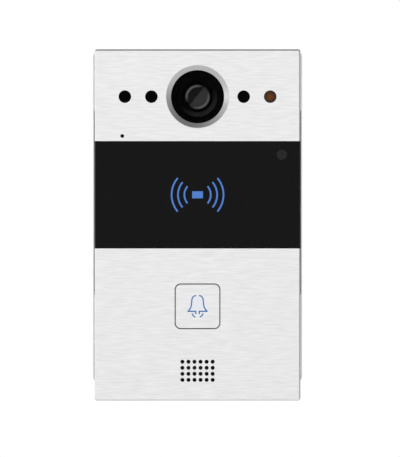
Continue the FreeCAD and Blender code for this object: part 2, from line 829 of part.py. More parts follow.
def network_jack_lamps():
    return jack_lamps()


def terminal_header():
    """Fixed half of the wiring connector, open towards the bay."""
    shell = block(TERMINAL_X, (6.2, MAIN_BOARD_D), (BAY_HIGH, BAY_HIGH + 11.0))
    inside = (TERMINAL_X[0] + 1.0, TERMINAL_X[1] - 1.0)
    return cut(shell, [block(inside, (7.4, 13.4), (BAY_HIGH, BAY_HIGH + 9.0))])


def pole_places():
    """X of each wire pole of the wiring connector."""
    middle = (TERMINAL_X[0] + TERMINAL_X[1]) / 2
    return [middle + (i - (TERMINAL_POLES - 1) / 2) * TERMINAL_PITCH for i in range(TERMINAL_POLES)]


def terminal_plug():
    """Pull-off half: a nose in the header, wire entries below and clamp screws facing the wall."""
    top = BAY_HIGH - 0.1
    body = block(TERMINAL_X, (4.0, 13.2), (top - 11.5, top))
    nose = block((TERMINAL_X[0] + 1.2, TERMINAL_X[1] - 1.2), (7.6, 13.2), (top, top + 8.5))
    holes = []
    for x in pole_places():
        holes.append(block((x - 1.3, x + 1.3), (6.8, 9.8), (top - 11.5, top - 6.0)))
        holes.append(disc(x, top - 5.5, (4.0, 6.2), 1.55))
    return cut(join([body, nose]), holes)


def terminal_screws():
    screws = []
    for x in pole_places():
        z = BAY_HIGH - 5.6
        head = disc(x, z, (4.6, 6.2), 1.5)
        screws.append(cut(head, [block((x - 1.6, x + 1.6), (4.6, 5.2), (z - 0.25, z + 0.25))]))
    return screws


def tamper_switch():
    x = (TAMPER_X - 3.5, TAMPER_X + 3.5)
    case = block(x, (11.0, MAIN_BOARD_D), (TAMPER_Z - 4.0, TAMPER_Z + 4.0))
    return cut(case, [disc(TAMPER_X, TAMPER_Z, (11.0, 15.0), 1.7)])


def tamper_plunger():
    """Pin held in by the wall; its collar stops it against the rear housing when the panel comes off."""
    return turned([
        (0, 0.3),
        (1.1, 0.3),
        (1.6, 0.8),
        (1.6, 6.6),
        (2.6, 6.6),
        (2.6, 7.6),
        (1.6, 7.6),
        (1.6, 13.5),
        (0, 13.5),
    ], TAMPER_X, TAMPER_Z)


def tamper_spring():
    wire_r = 0.18
    coil_r = 2.15
    helix = Part.makeHelix(0.78, 11.0 - 7.6 - 2 * wire_r, coil_r)
    section = Part.Wire([Part.makeCircle(wire_r, FreeCAD.Vector(coil_r, 0, 0), FreeCAD.Vector(0, 1, 0))])
    spring = Part.Wire(helix.Edges).makePipeShell([section], True, True)
    spring.rotate(FreeCAD.Vector(0, 0, 0), FreeCAD.Vector(1, 0, 0), 90)
    spring.translate(at(TAMPER_X, 7.6 + wire_r, TAMPER_Z))
    return spring


def clamp_screw_places():
    return [(-11.5, -54.0), (11.5, -54.0)]


def cable_clamp():
    """Saddle that holds the incoming cable against the floor of the bay."""
    body = rounded_edges(
        block((-16, 16), (8.8, BAY_D), (-57, -51)), 1.2,
        lambda e: whole_edge_at(e, 8.8) and abs(e.BoundBox.XLength) > 20,
    )
    channel = Part.makeCylinder(3.4, 6, at(0, BAY_D, -57), FreeCAD.Vector(0, 0, 1))
    return cut(body, [channel] + [disc(x, z, (8.8, BAY_D), 1.15) for x, z in clamp_screw_places()])


# ---------------------------------------------------------------- housings
def post(x, z, depth, radius, pilot_r, pilot):
    """Round post and the pilot hole to drill in it later."""
    return disc(x, z, depth, radius), disc(x, z, pilot, pilot_r)


def front_housing():
    body = slab(FRONT_SHELL_W, FRONT_SHELL_H, 1.5, (SPLIT_D, FRONT_D))
    half_w = FRONT_SHELL_W / 2 - WALL
    half_h = FRONT_SHELL_H / 2 - WALL
    lands = block((-LAND_HALF_W, LAND_HALF_W), (SPLIT_D + 0.2, FRONT_D - 0.4), (LAND_LOW, LAND_HIGH))
    body = join([body, lands])
    inside_low = REAR_LOW + WALL + 0.2
    body = cut(body, [
        block((-half_w, half_w), (SPLIT_D + 2.0, INNER_D), (-half_h, half_h)),
        block((-half_w, half_w), (SPLIT_D, SPLIT_D + 2.0), (inside_low, half_h)),
    ])
    posts, pilots = [], []
    columns = [(p, (SPLIT_D, INNER_D), 3.4, 1.25, (SPLIT_D, 29.5)) for p in HOUSING_SCREWS]
    board_front = SENSOR_BOARD_D + BOARD_T
    columns += [(p, (board_front, INNER_D), 2.3, 0.95, (board_front, 29.6))
                for p in sensor_board_screw_places()]
    columns += [(p, (HOOD_BACK_D + 1.5, INNER_D), 2.6, 0.95, (HOOD_BACK_D + 1.5, 30.9))
                for p in hood_screw_places()]
    board_front = READER_BOARD_D + BOARD_T
    columns += [(p, (board_front, INNER_D), 2.3, 0.95, (board_front, 31.6))
                for p in reader_board_screw_places()]
    board_front = BUTTON_BOARD_D + 1.6
    columns += [(p, (board_front, INNER_D), 2.3, 0.95, (board_front, 26.0))
                for p in button_board_screw_places()]
    for (x, z), depth, radius, pilot_r, pilot in columns:
        column, hole = post(x, z, depth, radius, pilot_r, pilot)
        posts.append(column)
        pilots.append(hole)
    speaker_rib = frame((31.0, 23.0), 1.4, 4.5, (28.0, INNER_D), 0, SPEAKER_Z)
    body = join([body, speaker_rib] + posts)
    wall = (INNER_D, FRONT_D)
    seat = (FRONT_D - 1.2, FRONT_D)
    openings = [
        disc(0, CAMERA_Z, wall, 15.8),
        disc(0, CAMERA_Z, (FRONT_D - 0.85, FRONT_D), BEZEL_FLANGE_R + 0.1),
        disc(MIC_X, MIC_Z, wall, 2.45),
        slab(LIGHT_GUIDE[0] + 0.6, LIGHT_GUIDE[1] + 0.6, 2.2, wall, 0, SYMBOL_Z),
        disc(PROXIMITY_X, PROXIMITY_Z, wall, 3.0),
        disc(PROXIMITY_X, PROXIMITY_Z, (FRONT_D - 1.0, FRONT_D), 3.65),
        slab(22.2, 22.2, 2.0, wall, 0, BUTTON_Z),
        slab(19.2, 12.8, 1.6, wall, 0, SPEAKER_Z),
    ]
    for x in sensor_places() + (SENSOR_OUTER_X,):
        openings.append(disc(x, CAMERA_Z, wall, 2.95))
        openings.append(disc(x, CAMERA_Z, seat, SENSOR_FLANGE_R + 0.05))
    return cut(body, openings + pilots)


def rear_outline(inset, depth, radius):
    """Rounded block that is the rear housing's outline drawn in by an inset."""
    width = 2 * (REAR_HALF_W - inset)
    height = REAR_HIGH - REAR_LOW - 2 * inset
    return slab(width, height, radius, depth, 0, (REAR_HIGH + REAR_LOW) / 2)


def gasket_ring(outer, inner):
    """Ring along the rim of the rear housing, between two insets."""
    depth = (SPLIT_D - GASKET_T, SPLIT_D)
    return rear_outline(outer, depth, 1.6).cut(rear_outline(inner, depth, 1.0))


def housing_gasket():
    return gasket_ring(1.5, WALL - 0.05)


def hook_pocket(sign):
    """Blind pocket for one bracket hook: the block that walls it, and the space inside."""
    x = sign * HOOK_X
    walls = block((x - 7.0, x + 7.0), (REAR_D + 1, 9.1), (38.0, 57.0))
    entry = block((x - 5.5, x + 5.5), (REAR_D, 7.6), (39.5, HOOK_Z + 0.05))
    above = block((x - 5.5, x + 5.5), (BACK_WALL_D, 7.6), (39.5, 55.5))
    return walls, [entry, above]


def rear_housing():
    body = rear_outline(0, (REAR_D, SPLIT_D), 3.0)
    body = rounded_edges(body, REAR_EDGE_R, lambda e: whole_edge_at(e, REAR_D))
    body = cut(body, [rear_outline(WALL, (BACK_WALL_D, SPLIT_D), 1.0)])
    bay_span = (-BAY_HALF_W - BAY_WALL, BAY_HALF_W + BAY_WALL)
    additions = [block(bay_span, (REAR_D + 1, BAY_D + BAY_WALL), (BAY_LOW - BAY_WALL, BAY_HIGH + BAY_WALL))]
    bay = block((-BAY_HALF_W, BAY_HALF_W), (REAR_D, BAY_D), (BAY_LOW, BAY_HIGH))
    spaces = [bay, gasket_ring(1.45, WALL)]
    for x, z in HOUSING_SCREWS:
        additions.append(disc(x, z, (REAR_D + 1, SPLIT_D), 4.0))
        spaces.append(disc(x, z, (REAR_D, 17.0), 2.6))
        spaces.append(disc(x, z, (17.0, SPLIT_D), 1.35))
    for x, z in main_board_screw_places():
        additions.append(disc(x, z, (REAR_D + 1, MAIN_BOARD_D), 3.0))
        spaces.append(disc(x, z, (9.0, MAIN_BOARD_D), 1.15))
    for x, z in camera_board_screw_places():
        additions.append(disc(x, z, (REAR_D + 1, CAMERA_BOARD_D), 2.5))
        spaces.append(disc(x, z, (4.0, CAMERA_BOARD_D), 0.95))
    for x, z in wall_screw_places() + box_screw_places():
        additions.append(disc(x, z, (REAR_D + 1, 6.6), 6.0))
        spaces.append(disc(x, z, (REAR_D, 5.0), 4.6))
    for sign in (-1, 1):
        walls, inside = hook_pocket(sign)
        additions.append(walls)
        spaces += inside
    boss_low = REAR_LOW + 1.0
    axis = FreeCAD.Vector(0, 0, 1)
    additions.append(Part.makeCylinder(4.0, -69.0 - boss_low, at(0, SECURITY_SCREW_D, boss_low), axis))
    spaces.append(Part.makeCylinder(1.55, -70.5 - REAR_LOW, at(0, SECURITY_SCREW_D, REAR_LOW), axis))
    ceiling = (BAY_HIGH - 0.1, BAY_HIGH + BAY_WALL + 0.1)
    jack_x = jack_span()
    spaces += [
        block((jack_x[0] - 0.2, jack_x[1] + 0.2), (BACK_WALL_D, BAY_D + BAY_WALL), (BAY_HIGH, ceiling[1])),
        block((TERMINAL_X[0] - 0.2, TERMINAL_X[1] + 0.2), (6.0, BAY_D + BAY_WALL), (BAY_HIGH, ceiling[1])),
        disc(TAMPER_X, TAMPER_Z, (REAR_D, BACK_WALL_D), 1.9),
    ]
    spaces += [disc(x, z, (BAY_D, BAY_D + 1.6), 0.95) for x, z in clamp_screw_places()]
    return cut(join([body] + additions), spaces)


def housing_screws():
    return [screw(x, z, (15.2, 17.0), 2.3, 1.2, 28.5) for x, z in HOUSING_SCREWS]


def board_screws():
    """Small screws of all the boards, the camera hood and the cable clamp."""
    screws = [screw(x, z, (21.7, SENSOR_BOARD_D), 2.0, 0.9, 28.6) for x, z in sensor_board_screw_places()]
    screws += [screw(x, z, (24.3, HOOD_BACK_D), 1.9, 0.9, 30.4) for x, z in hood_screw_places()]
    screws += [screw(x, z, (26.4, READER_BOARD_D), 2.0, 0.9, 31.2) for x, z in reader_board_screw_places()]
    screws += [screw(x, z, (18.6, BUTTON_BOARD_D), 2.0, 0.9, 25.6) for x, z in button_board_screw_places()]
    board_front = CAMERA_BOARD_D + BOARD_T
    screws += [screw(x, z, (board_front, board_front + 1.2), 2.0, 0.9, 4.4)
               for x, z in camera_board_screw_places()]
    screws += [screw(x, z, (MAIN_FRONT_D, MAIN_FRONT_D + 1.4), 2.4, 1.1, 9.6)
               for x, z in main_board_screw_places()]
    screws += [screw(x, z, (7.6, 8.8), 2.0, 0.9, 14.9) for x, z in clamp_screw_places()]
    return screws


# ---------------------------------------------------------------- wall bracket
def wall_screw_places():
    return [(sx * WALL_HOLE_X, sz * WALL_HOLE_Z) for sx in (-1, 1) for sz in (-1, 1)]


def box_screw_places():
    return [(-BOX_HOLE_X, BOX_HOLE_Z), (BOX_HOLE_X, BOX_HOLE_Z)]


def bent_tab(x, boxes, bend):
    """Tab of folded sheet: boxes with depth and height limits, rounded at the outer bends."""
    tab = join([block(x, depth, z) for depth, z in boxes])

    def at_bend(edge):
        if abs(edge.BoundBox.XLength - (x[1] - x[0])) > 1e-3:
            return False
        middle = edge.CenterOfMass
        return any(abs(-middle.y - d) < 1e-3 and abs(middle.z - z) < 1e-3 for d, z in bend)

    return rounded_edges(tab, BRACKET_T / 2, at_bend)


def bracket_hook(sign):
    """Tab lanced out of the bracket, folded forwards and then up."""
    x = (sign * HOOK_X - HOOK_W / 2, sign * HOOK_X + HOOK_W / 2)
    boxes = [
        ((0.0, 7.2), (HOOK_Z - BRACKET_T, HOOK_Z)),
        ((7.2 - BRACKET_T, 7.2), (HOOK_Z - BRACKET_T, HOOK_Z + 6.1)),
    ]
    return bent_tab(x, boxes, [(7.2, HOOK_Z - BRACKET_T)])


def wall_bracket():
    height = BRACKET_HIGH - BRACKET_LOW
    middle = (BRACKET_HIGH + BRACKET_LOW) / 2
    plate = slab(BRACKET_W, height, 6.0, (0, BRACKET_T), 0, middle)
    lip_low = LIP_TOP - BRACKET_T
    lip = bent_tab((-LIP_HALF_W, LIP_HALF_W), [
        ((0, BRACKET_T), (lip_low, BRACKET_LOW + 3.0)),
        ((0, 14.0), (lip_low, LIP_TOP)),
    ], [(0, lip_low)])
    lip = cut(lip, [
        Part.makeCylinder(1.7, BRACKET_T, at(0, SECURITY_SCREW_D, lip_low), FreeCAD.Vector(0, 0, 1)),
    ])
    span = (0, BRACKET_T)
    windows = [
        slab(52.0, 36.0, 4.0, span, 0, -40.0),
        slab(15.0, 40.0, 4.0, span, -11.0, 38.0),
        slab(15.0, 40.0, 4.0, span, 11.0, 38.0),
        disc(TAMPER_X, TAMPER_Z, span, 4.0),
    ]
    windows += [disc(x, z, span, WALL_HOLE_R) for x, z in wall_screw_places() + box_screw_places()]
    for sign in (-1, 1):
        x = (sign * HOOK_X - HOOK_W / 2 - 0.5, sign * HOOK_X + HOOK_W / 2 + 0.5)
        windows.append(block(x, span, (HOOK_Z - BRACKET_T - 11.5, HOOK_Z - BRACKET_T)))
    return join([cut(plate, windows), lip, bracket_hook(-1), bracket_hook(1)])


def security_screw():
    """Pin-in-hex machine screw that locks the panel to the lip of the bracket."""
    axis = FreeCAD.Vector(0, 0, 1)
    seat = LIP_TOP - BRACKET_T
    head = Part.makeCylinder(2.75, 2.4, at(0, SECURITY_SCREW_D, seat - 2.4), axis)
    head = head.makeFillet(0.5, [e for e in head.Edges if abs(e.CenterOfMass.z - seat + 2.4) < 1e-4
                                 and e.BoundBox.ZLength < 1e-4])
    shank = Part.makeCylinder(1.5, -71.5 - seat, at(0, SECURITY_SCREW_D, seat), axis)
    hexagon = []
    for angle in range(0, 360, 60):
        a = math.radians(angle)
        hexagon.append(at(1.5 * math.cos(a), SECURITY_SCREW_D + 1.5 * math.sin(a), seat - 2.4))
    socket = Part.Face(Part.makePolygon(hexagon + hexagon[:1])).extrude(axis * 1.5)
    pin = Part.makeCylinder(0.45, 1.5, at(0, SECURITY_SCREW_D, seat - 2.4), axis)
    return join([cut(join([head, shank]), [socket]), pin])


NODES = [
    upper_face_plate, lower_face_plate, reader_window, reader_symbol, proximity_sensor_lens,
    camera_bezel_ring, camera_window, camera_hood, lens_barrel, lens_front_element, lens_inner_elements,
    lens_holder, ir_cut_tray, ir_cut_filters, camera_board, camera_ribbon,
    ir_windows, light_sensor_window, ir_leds, light_sensor, sensor_board, microphone, microphone_boot,
    reader_antenna_board, reader_antenna_coil, call_button_cap, call_button_icon, call_button_carrier,
    button_seal, switch_body, switch_plunger, button_board, indicator_leds,
    speaker_mesh, speaker_gasket, speaker_frame, speaker_magnet, speaker_diaphragm, speaker_surround,
    speaker_voice_coil, main_board, board_components, heat_sink,
    network_jack, network_jack_contacts, network_jack_lamps, terminal_header, terminal_plug, terminal_screws,
    tamper_switch, tamper_plunger, tamper_spring, cable_clamp,
    front_housing, housing_gasket, rear_housing, housing_screws, board_screws,
    wall_bracket, security_screw,
]


def main():
    os.makedirs("parts", exist_ok=True)
    for make in NODES:
        made = make()
        solids = made if isinstance(made, list) else [made]
        for solid in solids:
            if not solid.isValid() or len(solid.Solids) != 1:
                raise ValueError(f"{make.__name__}: {len(solid.Solids)} solids, valid {solid.isValid()}")
        shape = Part.makeCompound([s.Solids[0] for s in solids])
        shape.exportStep(f"parts/{make.__name__}.step")
        print(f"{make.__name__:24s} {len(solids):3d} {shape.Volume:10.1f} mm3")
    print(len(NODES), "nodes")


main()
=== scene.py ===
"""Looks of a wall-mounted door intercom panel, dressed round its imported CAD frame."""
import logging
import math
from dataclasses import dataclass
from enum import Enum
from typing import Any, Callable, ClassVar, Iterable, Sequence

import bpy
from mathutils import Matrix, Vector


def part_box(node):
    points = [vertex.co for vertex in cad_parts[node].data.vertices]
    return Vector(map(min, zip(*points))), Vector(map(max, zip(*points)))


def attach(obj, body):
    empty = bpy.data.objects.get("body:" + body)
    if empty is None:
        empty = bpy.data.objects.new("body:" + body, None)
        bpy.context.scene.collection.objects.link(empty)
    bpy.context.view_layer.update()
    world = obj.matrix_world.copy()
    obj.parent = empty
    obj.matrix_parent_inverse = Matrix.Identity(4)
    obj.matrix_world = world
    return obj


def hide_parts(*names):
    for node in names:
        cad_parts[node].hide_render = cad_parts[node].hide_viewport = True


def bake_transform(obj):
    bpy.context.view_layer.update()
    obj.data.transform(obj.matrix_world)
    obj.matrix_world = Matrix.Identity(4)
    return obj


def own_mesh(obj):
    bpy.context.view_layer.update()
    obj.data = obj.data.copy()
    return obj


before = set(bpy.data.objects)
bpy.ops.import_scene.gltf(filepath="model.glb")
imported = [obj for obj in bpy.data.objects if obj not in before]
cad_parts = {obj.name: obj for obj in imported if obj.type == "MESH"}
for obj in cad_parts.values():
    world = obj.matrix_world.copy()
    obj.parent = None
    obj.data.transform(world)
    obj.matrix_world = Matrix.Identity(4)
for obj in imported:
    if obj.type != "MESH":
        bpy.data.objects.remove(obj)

LOG = logging.getLogger("door_intercom")
MM = 0.001

WELD = 0.000002

Socket = bpy.types.NodeSocket
Colour = tuple[float, float, float]
Stops = Sequence[tuple[float, Colour]]
Profile = Sequence[tuple[float, float]]


class Body(Enum):
    """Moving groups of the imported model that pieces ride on."""

    STATION = "station"
    SPEAKER_CONE = "speaker_cone"


class Side(Enum):
    """Directions a flat side can face."""

    WALL = (0, 1, 0)
    UNDER = (0, 0, -1)


# ---------------------------------------------------------------- finishes
class Recipe:
    """A material under construction, with short names for the nodes it is mixed from."""

    def __init__(self, name: str) -> None:
        """Starts an empty recipe.

        Args:
            name: the material's name.
        """
        self.material = bpy.data.materials.new(name)
        self.material.use_nodes = True
        self.tree = self.material.node_tree
        self.shader = self.tree.nodes["Principled BSDF"]
        self.place = self.tree.nodes.new("ShaderNodeTexCoord").outputs["Object"]

    def constant(self, **values: float | tuple) -> None:
        """Sets fixed values on the shader's own sockets.

        Args:
            values: socket names with underscores for spaces.
        """
        for name, value in values.items():
            socket = self.shader.inputs[name.replace("_", " ")]
            socket.default_value = (*value, 1.0) if isinstance(value, tuple) else value

    def link(self, output: Socket, name: str) -> None:
        """Feeds a varying value into one of the shader's sockets.

        Args:
            output: where the value comes from.
            name: the shader socket's name.
        """
        self.tree.links.new(output, self.shader.inputs[name])

    def mapped(self, scale: Sequence[float], shift: Sequence[float] = (0, 0, 0)) -> Socket:
        """Object coordinates, moved and then stretched.

        Args:
            scale: cycles per metre along each axis.
            shift: point in metres that becomes the pattern's origin.

        Returns:
            The mapped vector.
        """
        node = self.tree.nodes.new("ShaderNodeMapping")
        node.inputs["Location"].default_value = [-s * k for s, k in zip(shift, scale)]
        node.inputs["Scale"].default_value = scale
        self.tree.links.new(self.place, node.inputs["Vector"])
        return node.outputs["Vector"]

    def noise(self, vector: Socket, detail: float = 3.0, warp: float = 0.0) -> Socket:
        """Cloudy value from 0 to 1.

        Args:
            vector: coordinates in cycles.
            detail: octaves.
            warp: distortion of the coordinates.

        Returns:
            The value.
        """
        node = self.tree.nodes.new("ShaderNodeTexNoise")
        node.inputs["Scale"].default_value = 1.0
        node.inputs["Detail"].default_value = detail
        node.inputs["Distortion"].default_value = warp
        self.tree.links.new(vector, node.inputs["Vector"])
        return node.outputs["Fac"]

    def clouds(self, cycles: float, detail: float) -> Socket:
        """Cloudy value with the same cycles per metre each way."""
        return self.noise(self.mapped((cycles, cycles, cycles)), detail)

    def cells(self, vector: Socket) -> Socket:
        """Distance to the nearest of many scattered points.

        Args:
            vector: coordinates in cycles.

        Returns:
            The distance.
        """
        node = self.tree.nodes.new("ShaderNodeTexVoronoi")
        node.inputs["Scale"].default_value = 1.0
        self.tree.links.new(vector, node.inputs["Vector"])
        return node.outputs["Distance"]

    def waves(self, vector: Socket, axis: str) -> Socket:
        """Parallel ridges.

        Args:
            vector: coordinates in cycles.
            axis: axis across the ridges.

        Returns:
            The ridge height from 0 to 1.
        """
        node = self.tree.nodes.new("ShaderNodeTexWave")
        node.bands_direction = axis
        node.inputs["Scale"].default_value = 1.0
        self.tree.links.new(vector, node.inputs["Vector"])
        return node.outputs["Fac"]

    def radius(self, centre: Vector, cycles: float) -> Socket:
        """Distance from a depth-wise axis, as a vector that noise can read.

        Args:
            centre: a point on the axis.
            cycles: cycles per metre of radius.

        Returns:
            A vector whose length along X is the scaled radius.
        """
        pack = self.tree.nodes.new("ShaderNodeCombineXYZ")
        out = self.vector_math("LENGTH", self.mapped((cycles, 0, cycles), centre))
        self.tree.links.new(out, pack.inputs["X"])
        return pack.outputs["Vector"]

    def tones(self, value: Socket, stops: Stops) -> Socket:
        """Colours picked by a value.

        Args:
            value: a value from 0 to 1.
            stops: places along the ramp and their colours.

        Returns:
            The colour.
        """
        node = self.tree.nodes.new("ShaderNodeValToRGB")
        ramp = node.color_ramp
        while len(ramp.elements) < len(stops):
            ramp.elements.new(1.0)
        for element, (place, colour) in zip(ramp.elements, stops):
            element.position = place
            element.color = (*colour, 1.0)
        self.tree.links.new(value, node.inputs["Fac"])
        return node.outputs["Color"]

    def span(self, value: Socket, low: float, high: float) -> Socket:
        """A value from 0 to 1 moved into another span.

        Args:
            value: the value.
            low: result at 0.
            high: result at 1.

        Returns:
            The moved value.
        """
        node = self.tree.nodes.new("ShaderNodeMapRange")
        node.inputs["To Min"].default_value = low
        node.inputs["To Max"].default_value = high
        self.tree.links.new(value, node.inputs["Value"])
        return node.outputs["Result"]

    def mottle(self, value: Socket, colour: Colour, low: float, high: float,
               ends: tuple[float, float] = (0.3, 0.7)) -> None:
        """Varies the base colour with a value.

        Args:
            value: a value from 0 to 1.
            colour: the plain colour.
            low: factor of the colour at the first end.
            high: factor of the colour at the second end.
            ends: values at which the two are reached.
        """
        stops = [(ends[0], shade(colour, low)), (ends[1], shade(colour, high))]
        self.link(self.tones(value, stops), "Base Color")

    def roughen(self, value: Socket, low: float, high: float) -> None:
        """Varies the roughness with a value, between two limits."""
        self.link(self.span(value, low, high), "Roughness")

    def math(self, operation: str, *values: float | Socket) -> Socket:
        """Sum, product or the like of values, kept from 0 to 1.

        Args:
            operation: the Math node's operation.
            values: numbers or sockets, in the node's order.

        Returns:
            The result.
        """
        node = self.tree.nodes.new("ShaderNodeMath")
        node.operation = operation
        node.use_clamp = operation == "MULTIPLY"
        self.fill(node, values)
        return node.outputs["Value"]

    def vector_math(self, operation: str, *values: Colour | Socket) -> Socket:
        """Length or dot product of vectors.

        Args:
            operation: the Vector Math node's operation.
            values: vectors or sockets, in the node's order.

        Returns:
            The value.
        """
        node = self.tree.nodes.new("ShaderNodeVectorMath")
        node.operation = operation
        self.fill(node, values)
        return node.outputs["Value"]

    def fill(self, node: bpy.types.Node, values: Sequence[float | Colour | Socket]) -> None:
        """Links sockets to a node's inputs and sets the rest.

        Args:
            node: the node.
            values: a number, vector or socket for each input, in order.
        """
        for socket, value in zip(node.inputs, values):
            if isinstance(value, Socket):
                self.tree.links.new(value, socket)
            else:
                socket.default_value = value

    def blend(self, share: Socket, below: Socket, above: Colour) -> Socket:
        """One colour laid over another.

        Args:
            share: cover of the upper colour, from 0 to 1.
            below: the lower colour.
            above: the upper colour.

        Returns:
            The mixed colour.
        """
        node = self.tree.nodes.new("ShaderNodeMix")
        node.data_type = "RGBA"
        node.inputs[7].default_value = (*above, 1.0)
        self.tree.links.new(share, node.inputs[0])
        self.tree.links.new(below, node.inputs[6])
        return node.outputs[2]

    def bump(self, height: Socket, depth: float, strength: float = 1.0) -> None:
        """Roughens the surface by a height field.

        Args:
            height: heights from 0 to 1.
            depth: height of 1, in metres.
            strength: share of the effect.
        """
        node = self.tree.nodes.new("ShaderNodeBump")
        node.inputs["Strength"].default_value = strength
        node.inputs["Distance"].default_value = depth
        self.tree.links.new(height, node.inputs["Height"])
        self.link(node.outputs["Normal"], "Normal")


def shade(colour: Colour, factor: float) -> Colour:
    """A colour made lighter or darker.

    Args:
        colour: the colour.
        factor: multiplier.

    Returns:
        The new colour, within 0 to 1.
    """
    return tuple(min(1.0, c * factor) for c in colour)


@dataclass(frozen=True)
class Finish:
    """A surface finish: a name, a colour and a roughness, and a recipe that uses them."""

    name: str
    colour: Colour
    rough: float = 0.5
    mixed: ClassVar[dict[str, bpy.types.Material]] = {}

    def material(self) -> bpy.types.Material:
        """Mixes the finish's material once and shares it after that.

        Returns:
            The material.
        """
        if self.name not in self.mixed:
            recipe = Recipe(f"finish_{self.name}")
            self.mix(recipe)
            self.mixed[self.name] = recipe.material
        return self.mixed[self.name]

    def mix(self, recipe: Recipe) -> None:
        """Fills the recipe; each kind of finish has its own.

        Args:
            recipe: the recipe to fill.
        """
        raise NotImplementedError


@dataclass(frozen=True)
class Brushed(Finish):
    """Metal with short scratches along one axis."""

    along: int = 0
    length: float = 0.009
    width: float = 0.0009
    contrast: float = 0.055

    def scale(self, finer: float) -> list[float]:
        """Cycles per metre along each axis, with the scratches' long axis stretched.

        Args:
            finer: how many times finer than the visible scratches.

        Returns:
            The three scales.
        """
        across = finer / self.width
        scales = [across, across, across]
        scales[self.along] = finer / self.length
        return scales

    def mix(self, recipe: Recipe) -> None:
        """Coarse streaks in the colour, fine ones in roughness and bump.

        Args:
            recipe: the recipe to fill.
        """
        coarse = recipe.noise(recipe.mapped(self.scale(1.0)), 2.0, 0.35)
        fine = recipe.noise(recipe.mapped(self.scale(3.5)), 3.0)
        recipe.mottle(coarse, self.colour, 1 - self.contrast, 1 + self.contrast)
        recipe.roughen(fine, self.rough - 0.06, self.rough + 0.06)
        recipe.bump(fine, 0.000004, 0.6)
        recipe.constant(Metallic=1.0)


@dataclass(frozen=True)
class PaintedGlowCap(Brushed):
    """Brushed metal with the bell's pale blue light painted into its colour round the bell."""

    painted_bell_glow: Colour = (0.778, 0.80, 0.845)
    reach: float = 0.0062

    def mix(self, recipe: Recipe) -> None:
        """Brushed metal with a painted glow round the bell.

        Args:
            recipe: the recipe to fill.
        """
        super().mix(recipe)
        metal = recipe.shader.inputs["Base Color"].links[0].from_socket
        scale = 1 / self.reach
        out = recipe.vector_math("LENGTH", recipe.mapped((scale, 0, scale), middle("call_button_icon")))
        # painted light: the bell's glow is painted into the cap's colour, fading out away from the bell
        glow = recipe.tones(out, [(0.45, (1, 1, 1)), (1.0, (0, 0, 0))])
        recipe.link(recipe.blend(glow, metal, self.painted_bell_glow), "Base Color")


@dataclass(frozen=True)
class Turned(Finish):
    """Metal faced on a lathe, with fine rings round the camera's axis."""

    def mix(self, recipe: Recipe) -> None:
        """Rings in colour, roughness and bump.

        Args:
            recipe: the recipe to fill.
        """
        centre = middle("camera_bezel_ring")
        rings = recipe.noise(recipe.radius(centre, 2200), 3.0)
        recipe.mottle(rings, self.colour, 0.92, 1.08, (0.25, 0.75))
        recipe.roughen(rings, self.rough - 0.05, self.rough + 0.08)
        recipe.bump(rings, 0.00001, 0.4)
        recipe.constant(Metallic=1.0)


@dataclass(frozen=True)
class Plated(Finish):
    """Plated or plain machined metal with faint handling marks."""

    def mix(self, recipe: Recipe) -> None:
        """Cloudy roughness and a little pitting.

        Args:
            recipe: the recipe to fill.
        """
        clouds = recipe.clouds(420, 4.0)
        pits = recipe.clouds(5200, 2.0)
        recipe.mottle(clouds, self.colour, 0.9, 1.06, (0.3, 0.75))
        recipe.roughen(clouds, self.rough - 0.07, self.rough + 0.1)
        recipe.bump(pits, 0.000006, 0.5)
        recipe.constant(Metallic=1.0)


@dataclass(frozen=True)
class Powder(Finish):
    """Silver powder coat: metallic flakes under a pebbled clear film."""

    def mix(self, recipe: Recipe) -> None:
        """Flakes, orange peel and slight mottling.

        Args:
            recipe: the recipe to fill.
        """
        flakes = recipe.cells(recipe.mapped((3600, 3600, 3600)))
        peel = recipe.clouds(900, 2.0)
        recipe.mottle(flakes, self.colour, 1.12, 0.9, (0.1, 0.7))
        recipe.roughen(peel, self.rough - 0.05, self.rough + 0.08)
        recipe.bump(peel, 0.00002, 0.5)
        recipe.constant(Metallic=0.85, Coat_Weight=0.25, Coat_Roughness=0.35)


@dataclass(frozen=True)
class Moulded(Finish):
    """Plastic from a spark-textured mould."""

    grain: float = 0.0004
    relief: float = 0.00002
    gloss: float = 0.5

    def mix(self, recipe: Recipe) -> None:
        """Grain in the bump and faint clouds in colour and roughness.

        Args:
            recipe: the recipe to fill.
        """
        grain = recipe.clouds(1 / self.grain, 3.0)
        recipe.mottle(recipe.clouds(90, 3.0), self.colour, 0.85, 1.15)
        recipe.roughen(grain, self.rough - 0.08, self.rough + 0.08)
        recipe.bump(grain, self.relief, 0.6)
        recipe.constant(Specular_IOR_Level=self.gloss)


@dataclass(frozen=True)
class FunnelBlack(Moulded):
    """Matt black of the camera's funnel, with painted light on the shelf below and right of the lens."""

    painted_light_ring: Colour = (0.022, 0.022, 0.022)

    def mix(self, recipe: Recipe) -> None:
        """Moulded black with a painted lighter ring that fades out towards the upper left.

        Args:
            recipe: the recipe to fill.
        """
        super().mix(recipe)
        black = recipe.shader.inputs["Base Color"].links[0].from_socket
        place = recipe.mapped((100, 0, 100), middle("lens_front_element"))
        out = recipe.vector_math("LENGTH", place)
        # painted light: a lighter ring on the shelf, strongest below and right of the lens
        shelf = recipe.tones(out, [(0.72, (0, 0, 0)), (0.80, (1, 1, 1)), (0.96, (1, 1, 1)), (1.0, (0, 0, 0))])
        lower = recipe.span(recipe.vector_math("DOT_PRODUCT", place, (0.5, 0.0, -0.87)), -0.1, 1.4)
        recipe.link(recipe.blend(recipe.math("MULTIPLY", shelf, lower), black, self.painted_light_ring), "Base Color")


